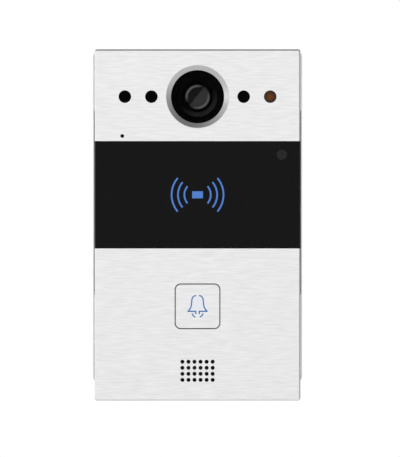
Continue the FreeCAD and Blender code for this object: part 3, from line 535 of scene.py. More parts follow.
@dataclass(frozen=True)
class Polished(Finish):
    """Gloss plastic with the faint ripple and haze of a polished sheet."""

    coat: float = 0.0
    gloss: float = 0.5

    def mix(self, recipe: Recipe) -> None:
        """Slow ripple and fine haze.

        Args:
            recipe: the recipe to fill.
        """
        ripple = recipe.clouds(35, 1.0)
        haze = recipe.clouds(700, 4.0)
        recipe.mottle(haze, self.colour, 0.9, 1.1)
        recipe.roughen(haze, self.rough, self.rough + 0.04)
        recipe.bump(ripple, 0.00001, 0.25)
        recipe.constant(Coat_Weight=self.coat, Coat_Roughness=0.04, Specular_IOR_Level=self.gloss)


@dataclass(frozen=True)
class LightGuide(Finish):
    """Blue diffusing plastic, faintly lit from behind."""

    glow: float = 0.12

    def mix(self, recipe: Recipe) -> None:
        """Soft mottling of the diffuser and an even glow.

        Args:
            recipe: the recipe to fill.
        """
        grains = recipe.clouds(2600, 2.0)
        recipe.mottle(grains, self.colour, 0.93, 1.07)
        recipe.roughen(grains, self.rough - 0.04, self.rough + 0.06)
        recipe.bump(grains, 0.000008, 0.4)
        recipe.constant(Emission_Color=self.colour, Emission_Strength=self.glow)


@dataclass(frozen=True)
class Glass(Finish):
    """Thin clear sheet, seen as a tint and a gloss."""

    cover: float = 0.15

    def mix(self, recipe: Recipe) -> None:
        """Faint smears in the gloss.

        Args:
            recipe: the recipe to fill.
        """
        smears = recipe.noise(recipe.mapped((120, 120, 60)), 3.0)
        recipe.mottle(smears, self.colour, 1.0, 1.2)
        recipe.roughen(smears, self.rough, self.rough + 0.03)
        recipe.constant(Alpha=self.cover)


@dataclass(frozen=True)
class CoatedLens(Finish):
    """Camera lens: near-black glass with a painted shaded half and a painted lighter half, and painted
    highlights near the rim.
    """

    painted_lit_half: Colour = (0.041, 0.041, 0.042)
    # painted highlight: colour of the two crescents near the rim
    edge: Colour = (0.155, 0.155, 0.158)

    def mix(self, recipe: Recipe) -> None:
        """A painted step from shade to light across the diagonal, gently bent, and two painted highlight
        crescents near the rim.

        Args:
            recipe: the recipe to fill.
        """
        centre = middle("lens_front_element")
        place = recipe.mapped((100, 0, 100), centre)
        bend = recipe.noise(recipe.mapped((90, 90, 90), centre), 0.0)
        across = recipe.vector_math("DOT_PRODUCT", place, (0.84, 0.0, -0.55))
        step = recipe.math("MULTIPLY_ADD", bend, 0.35, across)
        # painted shade and light: upper-left half dark as if shaded by the hood, lower-right half lighter as
        # if lit
        painted_shade_and_light = recipe.tones(step, [(0.09, self.colour), (0.19, self.painted_lit_half)])
        lean = recipe.math("ABSOLUTE", recipe.vector_math("DOT_PRODUCT", place, (-0.70, 0.0, 0.71)))
        out = recipe.vector_math("LENGTH", place)
        rim = recipe.tones(out, [(0.46, (0, 0, 0)), (0.53, (1, 1, 1)), (0.60, (1, 1, 1)), (0.62, (0, 0, 0))])
        # painted highlights: two crescents near the rim, upper left and lower right, in the edge colour
        painted_highlights = recipe.math("MULTIPLY", rim, recipe.span(lean, -0.6, 3.0))
        recipe.link(recipe.blend(painted_highlights, painted_shade_and_light, self.edge), "Base Color")
        recipe.constant(Roughness=self.rough, Specular_IOR_Level=0.04, Coat_Weight=0.04, Coat_Roughness=0.03)


@dataclass(frozen=True)
class SolderMask(Finish):
    """Circuit board under green lacquer, with tracks that show as faint lines."""

    def mix(self, recipe: Recipe) -> None:
        """Tracks as narrow lighter bands that wander across the board.

        Args:
            recipe: the recipe to fill.
        """
        tracks = recipe.waves(recipe.mapped((60, 60, 16)), "X")
        recipe.mottle(tracks, self.colour, 1.0, 1.7, (0.55, 0.62))
        recipe.roughen(recipe.clouds(1500, 2.0), self.rough - 0.05, self.rough + 0.1)
        recipe.bump(tracks, 0.00002, 0.5)


@dataclass(frozen=True)
class Woven(Finish):
    """Fine black cloth."""

    def mix(self, recipe: Recipe) -> None:
        """Threads both ways.

        Args:
            recipe: the recipe to fill.
        """
        place = recipe.mapped((900, 900, 900))
        both = recipe.math("MULTIPLY", recipe.waves(place, "X"), recipe.waves(place, "Z"))
        recipe.mottle(both, self.colour, 0.4, 1.0, (0.1, 0.8))
        recipe.bump(both, 0.00005)
        recipe.constant(Roughness=self.rough, Specular_IOR_Level=0.1)


@dataclass(frozen=True)
class Amber(Finish):
    """Brown translucent window, warmer in the middle where the sensor shows through."""

    rim: Colour = (0.035, 0.02, 0.012)

    def mix(self, recipe: Recipe) -> None:
        """Rings from a warm centre to a dark rim, broken up a little.

        Args:
            recipe: the recipe to fill.
        """
        centre = middle("light_sensor_window")
        spread = recipe.clouds(800, 3.0)
        out = recipe.vector_math("LENGTH", recipe.mapped((300, 0, 300), centre))
        rings = recipe.math("MULTIPLY_ADD", spread, 0.3, out)
        recipe.link(recipe.tones(rings, [(0.25, self.colour), (1.0, self.rim)]), "Base Color")
        recipe.constant(Roughness=self.rough, Specular_IOR_Level=0.25, Coat_Weight=0.15, Coat_Roughness=0.05)


ALUMINIUM = Brushed("brushed_aluminium", (0.80, 0.80, 0.805), 0.34)
CAP = PaintedGlowCap("lit_cap", (0.80, 0.80, 0.805), 0.34)
BEZEL = Turned("turned_bezel", (0.60, 0.60, 0.605), 0.30)
ACRYLIC = Polished("black_acrylic", (0.0050, 0.0050, 0.0051), 0.03)
SYMBOL_BLUE = LightGuide("symbol_light_guide", (0.055, 0.19, 0.62), 0.35, 0.10)
BELL_BLUE = LightGuide("bell_light_guide", (0.010, 0.14, 0.42), 0.40, 0.05)
INFRARED = Polished("infrared_window", (0.0012, 0.0012, 0.0012), 0.04, 0.0, 0.12)
AMBER = Amber("amber_window", (0.165, 0.052, 0.006), 0.15)
SMOKED = Polished("smoked_lens", (0.013, 0.013, 0.013), 0.12)
WINDOW_GLASS = Glass("camera_window_glass", (0.002, 0.002, 0.002), 0.02, 0.03)
LENS = CoatedLens("coated_lens", (0.0045, 0.0045, 0.0045), 0.25)
INNER_LENS = Glass("inner_lens_glass", (0.02, 0.025, 0.04), 0.05, 0.45)
FILTER = Glass("filter_glass", (0.10, 0.35, 0.32), 0.05, 0.6)
BAFFLE = Moulded("black_baffle", (0.0010, 0.0010, 0.0010), 0.7, 0.0003, 0.00001, 0.05)
FUNNEL = FunnelBlack("funnel_black", (0.0010, 0.0010, 0.0010), 0.7, 0.0003, 0.00001, 0.05)
BLACK_PLASTIC = Moulded("black_moulding", (0.018, 0.018, 0.019), 0.55)
SHELL = Moulded("housing_moulding", (0.030, 0.030, 0.031), 0.55, 0.0005, 0.00004)
POWDER = Powder("silver_powder_coat", (0.90, 0.90, 0.905), 0.32)
STAINLESS = Brushed("stainless_sheet", (0.58, 0.575, 0.565), 0.30, 2, 0.03, 0.0006, 0.06)
ZINC = Plated("bright_zinc", (0.56, 0.57, 0.59), 0.28)
NICKEL = Plated("nickel_plate", (0.62, 0.61, 0.59), 0.24)
YOKE = Plated("plated_yoke", (0.48, 0.48, 0.49), 0.3)
GOLD = Plated("gold_flash", (0.83, 0.58, 0.22), 0.22)
COPPER = Plated("lacquered_copper", (0.70, 0.36, 0.20), 0.32)
BLACK_ANODISED = Plated("black_anodised", (0.05, 0.05, 0.055), 0.4)
RUBBER = Moulded("black_rubber", (0.006, 0.006, 0.006), 0.8, 0.0006, 0.00003, 0.15)
SILICONE = Moulded("grey_silicone", (0.42, 0.43, 0.44), 0.6, 0.0008, 0.00002)
BOARD = SolderMask("solder_mask", (0.012, 0.10, 0.04), 0.35)
EPOXY = Moulded("moulded_epoxy", (0.022, 0.022, 0.024), 0.5, 0.0003, 0.00001)
PHOTO_CELL = Polished("photo_cell", (0.40, 0.13, 0.04), 0.2, 0.5)
DIODE = Polished("smoked_diode", (0.05, 0.045, 0.075), 0.1)
CHIP_DIODE = Polished("chip_diode", (0.55, 0.62, 0.72), 0.3)
LINK_LAMP = Polished("link_lamp", (0.35, 0.55, 0.08), 0.2)
FILM = Moulded("cone_film", (0.05, 0.05, 0.055), 0.45, 0.0005, 0.00001)
CLOTH = Woven("acoustic_cloth", (0.0025, 0.0025, 0.0025), 0.9)
GREEN = Moulded("connector_green", (0.025, 0.20, 0.07), 0.45, 0.0004, 0.00001)
RIBBON = Polished("ribbon_film", (0.70, 0.67, 0.58), 0.35)


# ---------------------------------------------------------------- frame helpers
def corners(node: str) -> tuple[Vector, Vector]:
    """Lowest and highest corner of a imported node's box."""
    low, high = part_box(node)
    return Vector(low), Vector(high)


def middle(node: str) -> Vector:
    """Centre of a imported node's box."""
    return sum(corners(node), Vector()) / 2


def dress(nodes: Iterable[str], finish: Finish) -> None:
    """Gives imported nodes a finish.

    Args:
        nodes: node names.
        finish: the finish.
    """
    for name in nodes:
        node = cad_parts[name]
        if not node.material_slots:
            node.data.materials.append(finish.material())
        for place in node.material_slots:
            place.material = finish.material()
        LOG.info("dressed %s as %s", name, finish.name)


def deselect() -> None:
    """Leaves nothing selected or active."""
    if bpy.context.object and bpy.context.object.mode != "OBJECT":
        bpy.ops.object.mode_set(mode="OBJECT")
    bpy.ops.object.select_all(action="DESELECT")


class Workpiece:
    """A piece being modelled by hand tools, ring by ring or face by face."""

    def __init__(self, name: str, body: Body | None, slot: str, replaces: Sequence[str] = ()) -> None:
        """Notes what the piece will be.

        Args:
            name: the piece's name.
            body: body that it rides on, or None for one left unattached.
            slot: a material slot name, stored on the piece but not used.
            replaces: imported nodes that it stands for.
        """
        self.name = name
        self.body = body
        self.slot = slot
        self.stands_for = replaces
        self.thing: bpy.types.Object | None = None

    def take(self) -> None:
        """Adopts the object that an operator has just added, with its place put in its mesh."""
        self.thing = bpy.context.object
        self.thing.name = self.name
        self.thing.data.name = self.name
        bpy.ops.object.transform_apply(location=True, rotation=True, scale=True)

    def open_up(self) -> None:
        """Opens the piece in edit mode with everything selected."""
        bpy.context.view_layer.objects.active = self.thing
        bpy.ops.object.mode_set(mode="EDIT")
        bpy.ops.mesh.select_all(action="SELECT")

    def close_up(self) -> None:
        """Merges doubled points and turns every face outwards, in edit mode."""
        bpy.ops.mesh.select_all(action="SELECT")
        bpy.ops.mesh.remove_doubles(threshold=WELD)
        bpy.ops.mesh.normals_make_consistent(inside=False)

    def modify(self, kind: str, **settings: Any) -> None:
        """Adds a modifier and applies it.

        Args:
            kind: the modifier's type.
            settings: its properties.
        """
        deselect()
        bpy.context.view_layer.objects.active = self.thing
        modifier = self.thing.modifiers.new(kind.lower(), kind)
        for name, value in settings.items():
            setattr(modifier, name, value)
        bpy.ops.object.modifier_apply(modifier=modifier.name)

    def cube(self, low: Sequence[float], high: Sequence[float]) -> None:
        """Starts from a block.

        Args:
            low: lowest corner in metres.
            high: highest corner in metres.
        """
        deselect()
        centre = [(a + b) / 2 for a, b in zip(low, high)]
        size = [b - a for a, b in zip(low, high)]
        bpy.ops.mesh.primitive_cube_add(size=1, location=centre, scale=size)
        self.take()

    def turn(self, centre: Vector, profile: Profile, steps: int = 96, closed: bool = True) -> None:
        """Turns a round piece: a circle is extruded and resized along a profile.

        Args:
            centre: a point on the depth-wise axis.
            profile: (radius, depth) in millimetres from ring to ring.
            steps: points in each ring.
            closed: whether the last ring joins the first; otherwise both ends are capped.
        """
        deselect()
        radius, depth = profile[0]
        start = (centre.x, -depth * MM, centre.z)
        bpy.ops.mesh.primitive_circle_add(vertices=steps, radius=radius * MM, location=start,
                                          rotation=(math.pi / 2, 0, 0))
        self.take()
        self.open_up()
        if not closed:
            bpy.ops.mesh.edge_face_add()
            bpy.ops.mesh.select_all(action="SELECT")
        ring = list(profile[1:]) + ([profile[0]] if closed else [])
        extrude: Callable = bpy.ops.mesh.extrude_edges_move if closed else bpy.ops.mesh.extrude_region_move
        for next_radius, next_depth in ring:
            extrude()
            bpy.ops.transform.translate(value=(0, -(next_depth - depth) * MM, 0))
            share = next_radius / radius
            bpy.ops.transform.resize(value=(share, 1, share),
                                     center_override=(centre.x, -next_depth * MM, centre.z))
            radius, depth = next_radius, next_depth
        self.close_up()
        bpy.ops.object.mode_set(mode="OBJECT")

    def rod(self, centre: Sequence[float], radius: float, length: float, upright: bool) -> None:
        """Starts from a round bar.

        Args:
            centre: its middle in metres.
            radius: its radius in metres.
            length: its length in metres.
            upright: whether it stands along Z; otherwise it lies along Y.
        """
        deselect()
        turn = (0, 0, 0) if upright else (math.pi / 2, 0, 0)
        bpy.ops.mesh.primitive_cylinder_add(vertices=48, radius=radius, depth=length, location=centre,
                                            rotation=turn)
        self.take()

    def pick_points(self, test: Callable[[Vector], bool]) -> None:
        """Selects points in edit mode by their place.

        Args:
            test: takes a point's place, and says whether it is wanted.
        """
        bpy.ops.object.mode_set(mode="EDIT")
        bpy.ops.mesh.select_mode(type="VERT")
        bpy.ops.mesh.select_all(action="DESELECT")
        bpy.ops.object.mode_set(mode="OBJECT")
        for point in self.thing.data.vertices:
            point.select = test(point.co)
        bpy.ops.object.mode_set(mode="EDIT")

    def combine(self, other: "Workpiece", operation: str) -> None:
        """Cuts another shape out of this one, or welds it on, and uses that shape up.

        Args:
            other: the other shape.
            operation: DIFFERENCE or UNION.
        """
        self.modify("BOOLEAN", operation=operation, object=other.thing)
        bpy.data.objects.remove(other.thing)

    def pick(self, test: Callable[[Vector, Vector], bool]) -> None:
        """Selects faces in edit mode by their centre and normal.

        Args:
            test: takes centre and normal, and says whether the face is wanted.
        """
        bpy.ops.object.mode_set(mode="EDIT")
        bpy.ops.mesh.select_mode(type="FACE")
        bpy.ops.mesh.select_all(action="DESELECT")
        bpy.ops.object.mode_set(mode="OBJECT")
        for face in self.thing.data.polygons:
            face.select = test(face.center, face.normal)
        bpy.ops.object.mode_set(mode="EDIT")

    def facing(self, side: Side) -> None:
        """Selects the faces that look in one direction."""
        self.pick(lambda centre, normal: normal.dot(Vector(side.value)) > 0.99)

    def sink(self, border: float, depth: float, side: Side) -> None:
        """Insets the selected faces and pushes them into the piece.

        Args:
            border: width left round them, in metres.
            depth: how far they go in, in metres.
            side: the direction that they face.
        """
        bpy.ops.mesh.inset(thickness=border, depth=0)
        inward = -Vector(side.value) * depth
        bpy.ops.mesh.extrude_region_move(TRANSFORM_OT_translate={"value": inward})

    def soften(self, width: float, segments: int = 2, angle: float = 30.0) -> None:
        """Rounds the sharp edges.

        Args:
            width: the bevel's width in metres.
            segments: steps across it.
            angle: smallest edge angle in degrees that is rounded.
        """
        self.modify("BEVEL", width=width, segments=segments, limit_method="ANGLE",
                    angle_limit=math.radians(angle))

    def copies(self, offsets: Iterable[Vector]) -> None:
        """Adds copies of the piece at offsets and joins them all into it.

        Args:
            offsets: moves of the copies in metres.
        """
        bpy.ops.object.mode_set(mode="OBJECT")
        twins = []
        for offset in offsets:
            twin = self.thing.copy()
            twin.data = self.thing.data.copy()
            twin.data.transform(Matrix.Translation(offset))
            bpy.context.collection.objects.link(twin)
            twins.append(twin)
        deselect()
        for twin in twins + [self.thing]:
            twin.select_set(True)
        bpy.context.view_layer.objects.active = self.thing
        bpy.ops.object.join()

    def finish(self, finish: Finish, smooth: float = 35.0) -> bpy.types.Object:
        """Dresses the piece and hands it to the frame.

        Args:
            finish: its surface.
            smooth: largest angle in degrees that is shaded smooth.

        Returns:
            The finished piece.
        """
        deselect()
        self.thing.select_set(True)
        bpy.context.view_layer.objects.active = self.thing
        bpy.ops.object.shade_smooth_by_angle(angle=math.radians(smooth))
        self.thing.data.materials.clear()
        self.thing.data.materials.append(finish.material())
        if self.body:
            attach(self.thing, self.body.value)
        if self.stands_for:
            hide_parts(*self.stands_for)
        LOG.info("made %s", self.name)
        return self.thing


# ---------------------------------------------------------------- sub-assemblies
@dataclass
class SubAssembly:
    """A sub-assembly: its sizes, its finishes and the pieces made for it."""

    def dress(self) -> None:
        """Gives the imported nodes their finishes."""
        raise NotImplementedError

    def build(self) -> None:
        """Makes new pieces; a group without any leaves this as it is."""


@dataclass
class Face(SubAssembly):
    """Face plates, reader window and what shows through it."""

    def dress(self) -> None:
        """Brushed plates round a gloss window."""
        dress(["upper_face_plate", "lower_face_plate"], ALUMINIUM)
        dress(["reader_window"], ACRYLIC)
        dress(["reader_symbol"], SYMBOL_BLUE)
        dress(["proximity_sensor_lens"], SMOKED)


@dataclass
class Camera(SubAssembly):
    """Bezel ring, window, baffle and lens."""

    lens_radius: float = 6.25
    lens_back: float = 26.0
    lens_edge: float = 27.4
    lens_crown: float = 28.85
    lens_chamfer: float = 0.2
    lens_play: float = 0.1
    rings: int = 9
    bore: float = 5.0
    thread_radius: float = 6.0
    thread_depth: float = 0.15
    thread_pitch: float = 0.5
    thread_run_out: float = 1.0
    shoulder: float = 0.7
    grip_radius: float = 7.2
    grip_span: tuple[float, float] = (23.2, 27.4)
    rim_chamfer: float = 0.4
    flute_border: float = 0.08
    flute_depth: float = 0.25
    edge: float = 0.05
    notch_width: float = 1.2
    notch_depth: float = 0.5
    steps: int = 96

    def dress(self) -> None:
        """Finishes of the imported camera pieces."""
        dress(["camera_bezel_ring"], BEZEL)
        dress(["camera_window"], WINDOW_GLASS)
        dress(["camera_hood"], FUNNEL)
        dress(["lens_holder"], BAFFLE)
        dress(["ir_cut_tray"], BLACK_PLASTIC)
        dress(["lens_inner_elements"], INNER_LENS)
        dress(["ir_cut_filters"], FILTER)
        dress(["camera_board"], BOARD)
        dress(["camera_ribbon"], RIBBON)

    def front_lens(self) -> None:
        """Domed front element with a ground edge."""
        centre = middle("lens_front_element")
        rise = self.lens_crown - self.lens_edge
        sphere = (self.lens_radius ** 2 + rise ** 2) / (2 * rise)
        profile = [(self.lens_radius - self.lens_chamfer, self.lens_back),
                   (self.lens_radius, self.lens_back + self.lens_chamfer),
                   (self.lens_radius, self.lens_edge - self.lens_play)]
        for i in range(self.rings):
            radius = (self.lens_radius - self.lens_play) * (1 - i / self.rings)
            drop = sphere - math.sqrt(sphere ** 2 - radius ** 2)
            profile.append((radius, self.lens_crown - drop))
        work = Workpiece("front_lens", Body.STATION, "lens_glass", ["lens_front_element"])
        work.turn(centre, profile, self.steps, closed=False)
        work.finish(LENS, 40)

    def barrel(self) -> None:
        """Threaded lens barrel with a fluted grip and two spanner notches."""
        centre = middle("lens_barrel")
        seat = self.lens_radius + self.lens_play
        low, high = (-corner.y / MM for corner in reversed(corners("lens_barrel")))
        root = self.thread_radius - self.thread_depth
        grip_start, grip_end = self.grip_span
        profile = [(self.bore, low), (root, low)]
        for i in range(int((grip_start - self.thread_run_out - low) / self.thread_pitch)):
            profile.append((root if i % 2 else self.thread_radius, low + (i + 0.6) * self.thread_pitch))
        shoulder = grip_start - self.shoulder
        profile += [(self.thread_radius, shoulder), (self.grip_radius, shoulder)]
        profile += [(self.grip_radius, grip_start), (self.grip_radius, grip_end)]
        profile += [(self.grip_radius, high - self.rim_chamfer), (self.grip_radius - self.rim_chamfer, high)]
        profile += [(seat, high), (seat, self.lens_back), (self.bore, self.lens_back)]
        work = Workpiece("focus_barrel", Body.STATION, "black_plastic", ["lens_barrel"])
        work.turn(centre, profile, self.steps)
        work.pick(lambda place, normal: self.on_flute(place - centre, normal))
        bpy.ops.mesh.inset(thickness=self.flute_border * MM, depth=0)
        inward = {"value": -self.flute_depth * MM}
        bpy.ops.mesh.extrude_region_shrink_fatten(TRANSFORM_OT_shrink_fatten=inward)
        work.soften(self.edge * MM, 1, 50)
        notch = Workpiece("notch_cutter", Body.STATION, "black_plastic")
        reach = Vector((self.grip_radius * 1.2, 0, self.notch_width / 2)) * MM
        notch.cube((centre.x - reach.x, -(high + 1.0) * MM, centre.z - reach.z),
                   (centre.x + reach.x, -(high - self.notch_depth) * MM, centre.z + reach.z))
        work.combine(notch, "DIFFERENCE")
        work.finish(BAFFLE, 30)

    def on_flute(self, place: Vector, normal: Vector) -> bool:
        """Whether a face of the barrel's grip belongs to a flute.

        Args:
            place: the face's centre, from the barrel's middle.
            normal: the face's normal.

        Returns:
            True on every second pair of the grip's faces.
        """
        around = math.atan2(place.z, place.x) / (2 * math.pi) * self.steps
        middle_depth = -middle("lens_barrel").y - place.y
        inside = self.grip_span[0] * MM < middle_depth < self.grip_span[1] * MM
        radial = abs(normal.y) < 0.01 and math.hypot(place.x, place.z) > (self.grip_radius - 0.05) * MM
        return inside and radial and int(around + self.steps) % 4 < 2

    def build(self) -> None:
        """Makes the lens and its barrel."""
        self.front_lens()
        self.barrel()


@dataclass
class SensorRow(SubAssembly):
    """Infrared windows, light sensor and microphone."""

    def dress(self) -> None:
        """Black windows, one amber."""
        dress(["ir_windows"], INFRARED)
        dress(["light_sensor_window"], AMBER)
        dress(["ir_leds"], DIODE)
        dress(["light_sensor"], PHOTO_CELL)
        dress(["sensor_board"], BOARD)
        dress(["microphone"], BLACK_ANODISED)
        dress(["microphone_boot"], RUBBER)


@dataclass
class CallButton(SubAssembly):
    """Cap with its bell, the parts under it and the switch."""

    def dress(self) -> None:
        """Cap to match the plate, blue bell, black carrier."""
        dress(["call_button_cap"], CAP)
        dress(["call_button_icon"], BELL_BLUE)
        dress(["call_button_carrier", "switch_plunger"], BLACK_PLASTIC)
        dress(["button_seal"], SILICONE)
        dress(["switch_body"], EPOXY)
        dress(["button_board"], BOARD)
        dress(["indicator_leds"], CHIP_DIODE)


@dataclass
class Speaker(SubAssembly):
    """Speaker and its mesh."""

    thread: float = 0.00011
    pitch: float = 0.0005
    wave: float = 0.00003
    roll: Profile = ((0.35, 28.15), (0.5, 28.3), (0.8, 28.75), (1.15, 29.08), (1.5, 29.2), (1.8, 29.1),
                     (2.0, 29.03), (2.6, 29.03))
    roll_back: float = 28.15
    fixed_below: float = 28.2
    carried_above: float = 28.85
    corner: float = 0.0013
    sheet: float = 0.00012

    def dress(self) -> None:
        """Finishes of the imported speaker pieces."""
        dress(["speaker_gasket"], RUBBER)
        dress(["speaker_frame"], BLACK_PLASTIC)
        dress(["speaker_magnet"], YOKE)
        dress(["speaker_diaphragm"], FILM)
        dress(["speaker_voice_coil"], COPPER)

    def surround(self) -> None:
        """Rubber roll that carries the cone, with one lip glued in the frame and one on the cone."""
        low, high = corners("speaker_surround")
        centre = (low + high) / 2
        deselect()
        bpy.ops.mesh.primitive_plane_add(size=1, location=(centre.x, -self.roll_back * MM, centre.z),
                                         rotation=(math.pi / 2, 0, 0))
        work = Workpiece("speaker_roll", None, "seal_rubber", ["speaker_surround"])
        work.take()
        work.open_up()
        bpy.ops.transform.resize(value=(high.x - low.x, 1, high.z - low.z), center_override=centre)
        bpy.ops.mesh.bevel(offset=self.corner, segments=6, affect="VERTICES")
        bpy.ops.mesh.select_all(action="SELECT")
        half_x, half_z, depth = (high.x - low.x) / 2 / MM, (high.z - low.z) / 2 / MM, self.roll_back
        width, height = half_x, half_z
        for inward, next_depth in self.roll:
            bpy.ops.mesh.extrude_region_move()
            bpy.ops.transform.translate(value=(0, -(next_depth - depth) * MM, 0))
            shrink = ((half_x - inward) / width, 1, (half_z - inward) / height)
            bpy.ops.transform.resize(value=shrink, center_override=centre)
            width, height, depth = half_x - inward, half_z - inward, next_depth
        bpy.ops.mesh.delete(type="FACE")
        work.close_up()
        work.modify("SOLIDIFY", thickness=self.sheet)
        piece = work.finish(RUBBER, 50)
        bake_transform(piece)

    def weave(self) -> None:
        """Woven screen behind the holes: a grid of crossing wires that rise and fall by turns."""
        low, high = corners("speaker_mesh")
        centre = (low + high) / 2
        width, height = high.x - low.x - self.thread, high.z - low.z - self.thread
        columns, rows = round(width / self.pitch), round(height / self.pitch)
        deselect()
        bpy.ops.mesh.primitive_grid_add(x_subdivisions=columns, y_subdivisions=rows, size=1, location=centre,
                                        rotation=(math.pi / 2, 0, 0))
        work = Workpiece("speaker_weave", Body.STATION, "mesh", ["speaker_mesh"])
        work.take()
        work.open_up()
        bpy.ops.transform.resize(value=(width, 1, height), center_override=centre)
        work.pick_points(lambda place: (round((place.x - low.x) / width * columns)
                                        + round((place.z - low.z) / height * rows)) % 2 == 0)
        bpy.ops.transform.translate(value=(0, self.wave, 0))
        work.modify("WIREFRAME", thickness=self.thread, use_boundary=True)
        work.open_up()
        work.close_up()
        work.finish(CLOTH, 60)

    def build(self) -> None:
        """Makes the roll and the screen."""
        self.surround()
        self.weave()


@dataclass
class Housings(SubAssembly):
    """Front and rear housings with their seal and screws."""

    def dress(self) -> None:
        """Black moulding in front, silver casting behind."""
        dress(["front_housing"], SHELL)
        dress(["rear_housing"], POWDER)
        dress(["housing_gasket"], RUBBER)
        dress(["housing_screws", "board_screws"], ZINC)


@dataclass
class Electronics(SubAssembly):
    """Boards and what stands on them."""

    wire_radius: float = 0.00018
    spring_turns: int = 4
    turn_share: float = 0.975
    pin_travel: float = 0.0012

    def dress(self) -> None:
        """Green boards, black parts, plated contacts."""
        dress(["main_board", "reader_antenna_board"], BOARD)
        dress(["reader_antenna_coil"], COPPER)
        dress(["board_components", "tamper_switch"], EPOXY)
        dress(["heat_sink"], BLACK_ANODISED)
        dress(["tamper_plunger"], BLACK_PLASTIC)

    def spring(self) -> None:
        """Coil spring round the tamper pin."""
        low, high = corners("tamper_spring")
        centre = (low + high) / 2
        length = high.y - low.y
        coil = (high.x - low.x) / 2 - self.wire_radius
        work = Workpiece("tamper_coil", Body.STATION, "screw_steel", ["tamper_spring"])
        deselect()
        start = (centre.x + coil, low.y + self.wire_radius, centre.z)
        bpy.ops.mesh.primitive_circle_add(vertices=12, radius=self.wire_radius, location=start)
        work.take()
        deselect()
        bpy.ops.object.empty_add(location=(centre.x, 0, centre.z))
        axle = bpy.context.object
        work.modify("SCREW", axis="Y", object=axle, steps=32, render_steps=32, iterations=self.spring_turns,
                    angle=2 * math.pi * self.turn_share,
                    screw_offset=(length - 2 * self.wire_radius) / self.spring_turns)
        bpy.data.objects.remove(axle)
        work.open_up()
        bpy.ops.mesh.remove_doubles(threshold=WELD)
        bpy.ops.mesh.fill_holes(sides=0)
        bpy.ops.mesh.normals_make_consistent(inside=False)
        piece = work.finish(ZINC, 60)
        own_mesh(piece)

    def build(self) -> None:
        """Makes the spring."""
        self.spring()


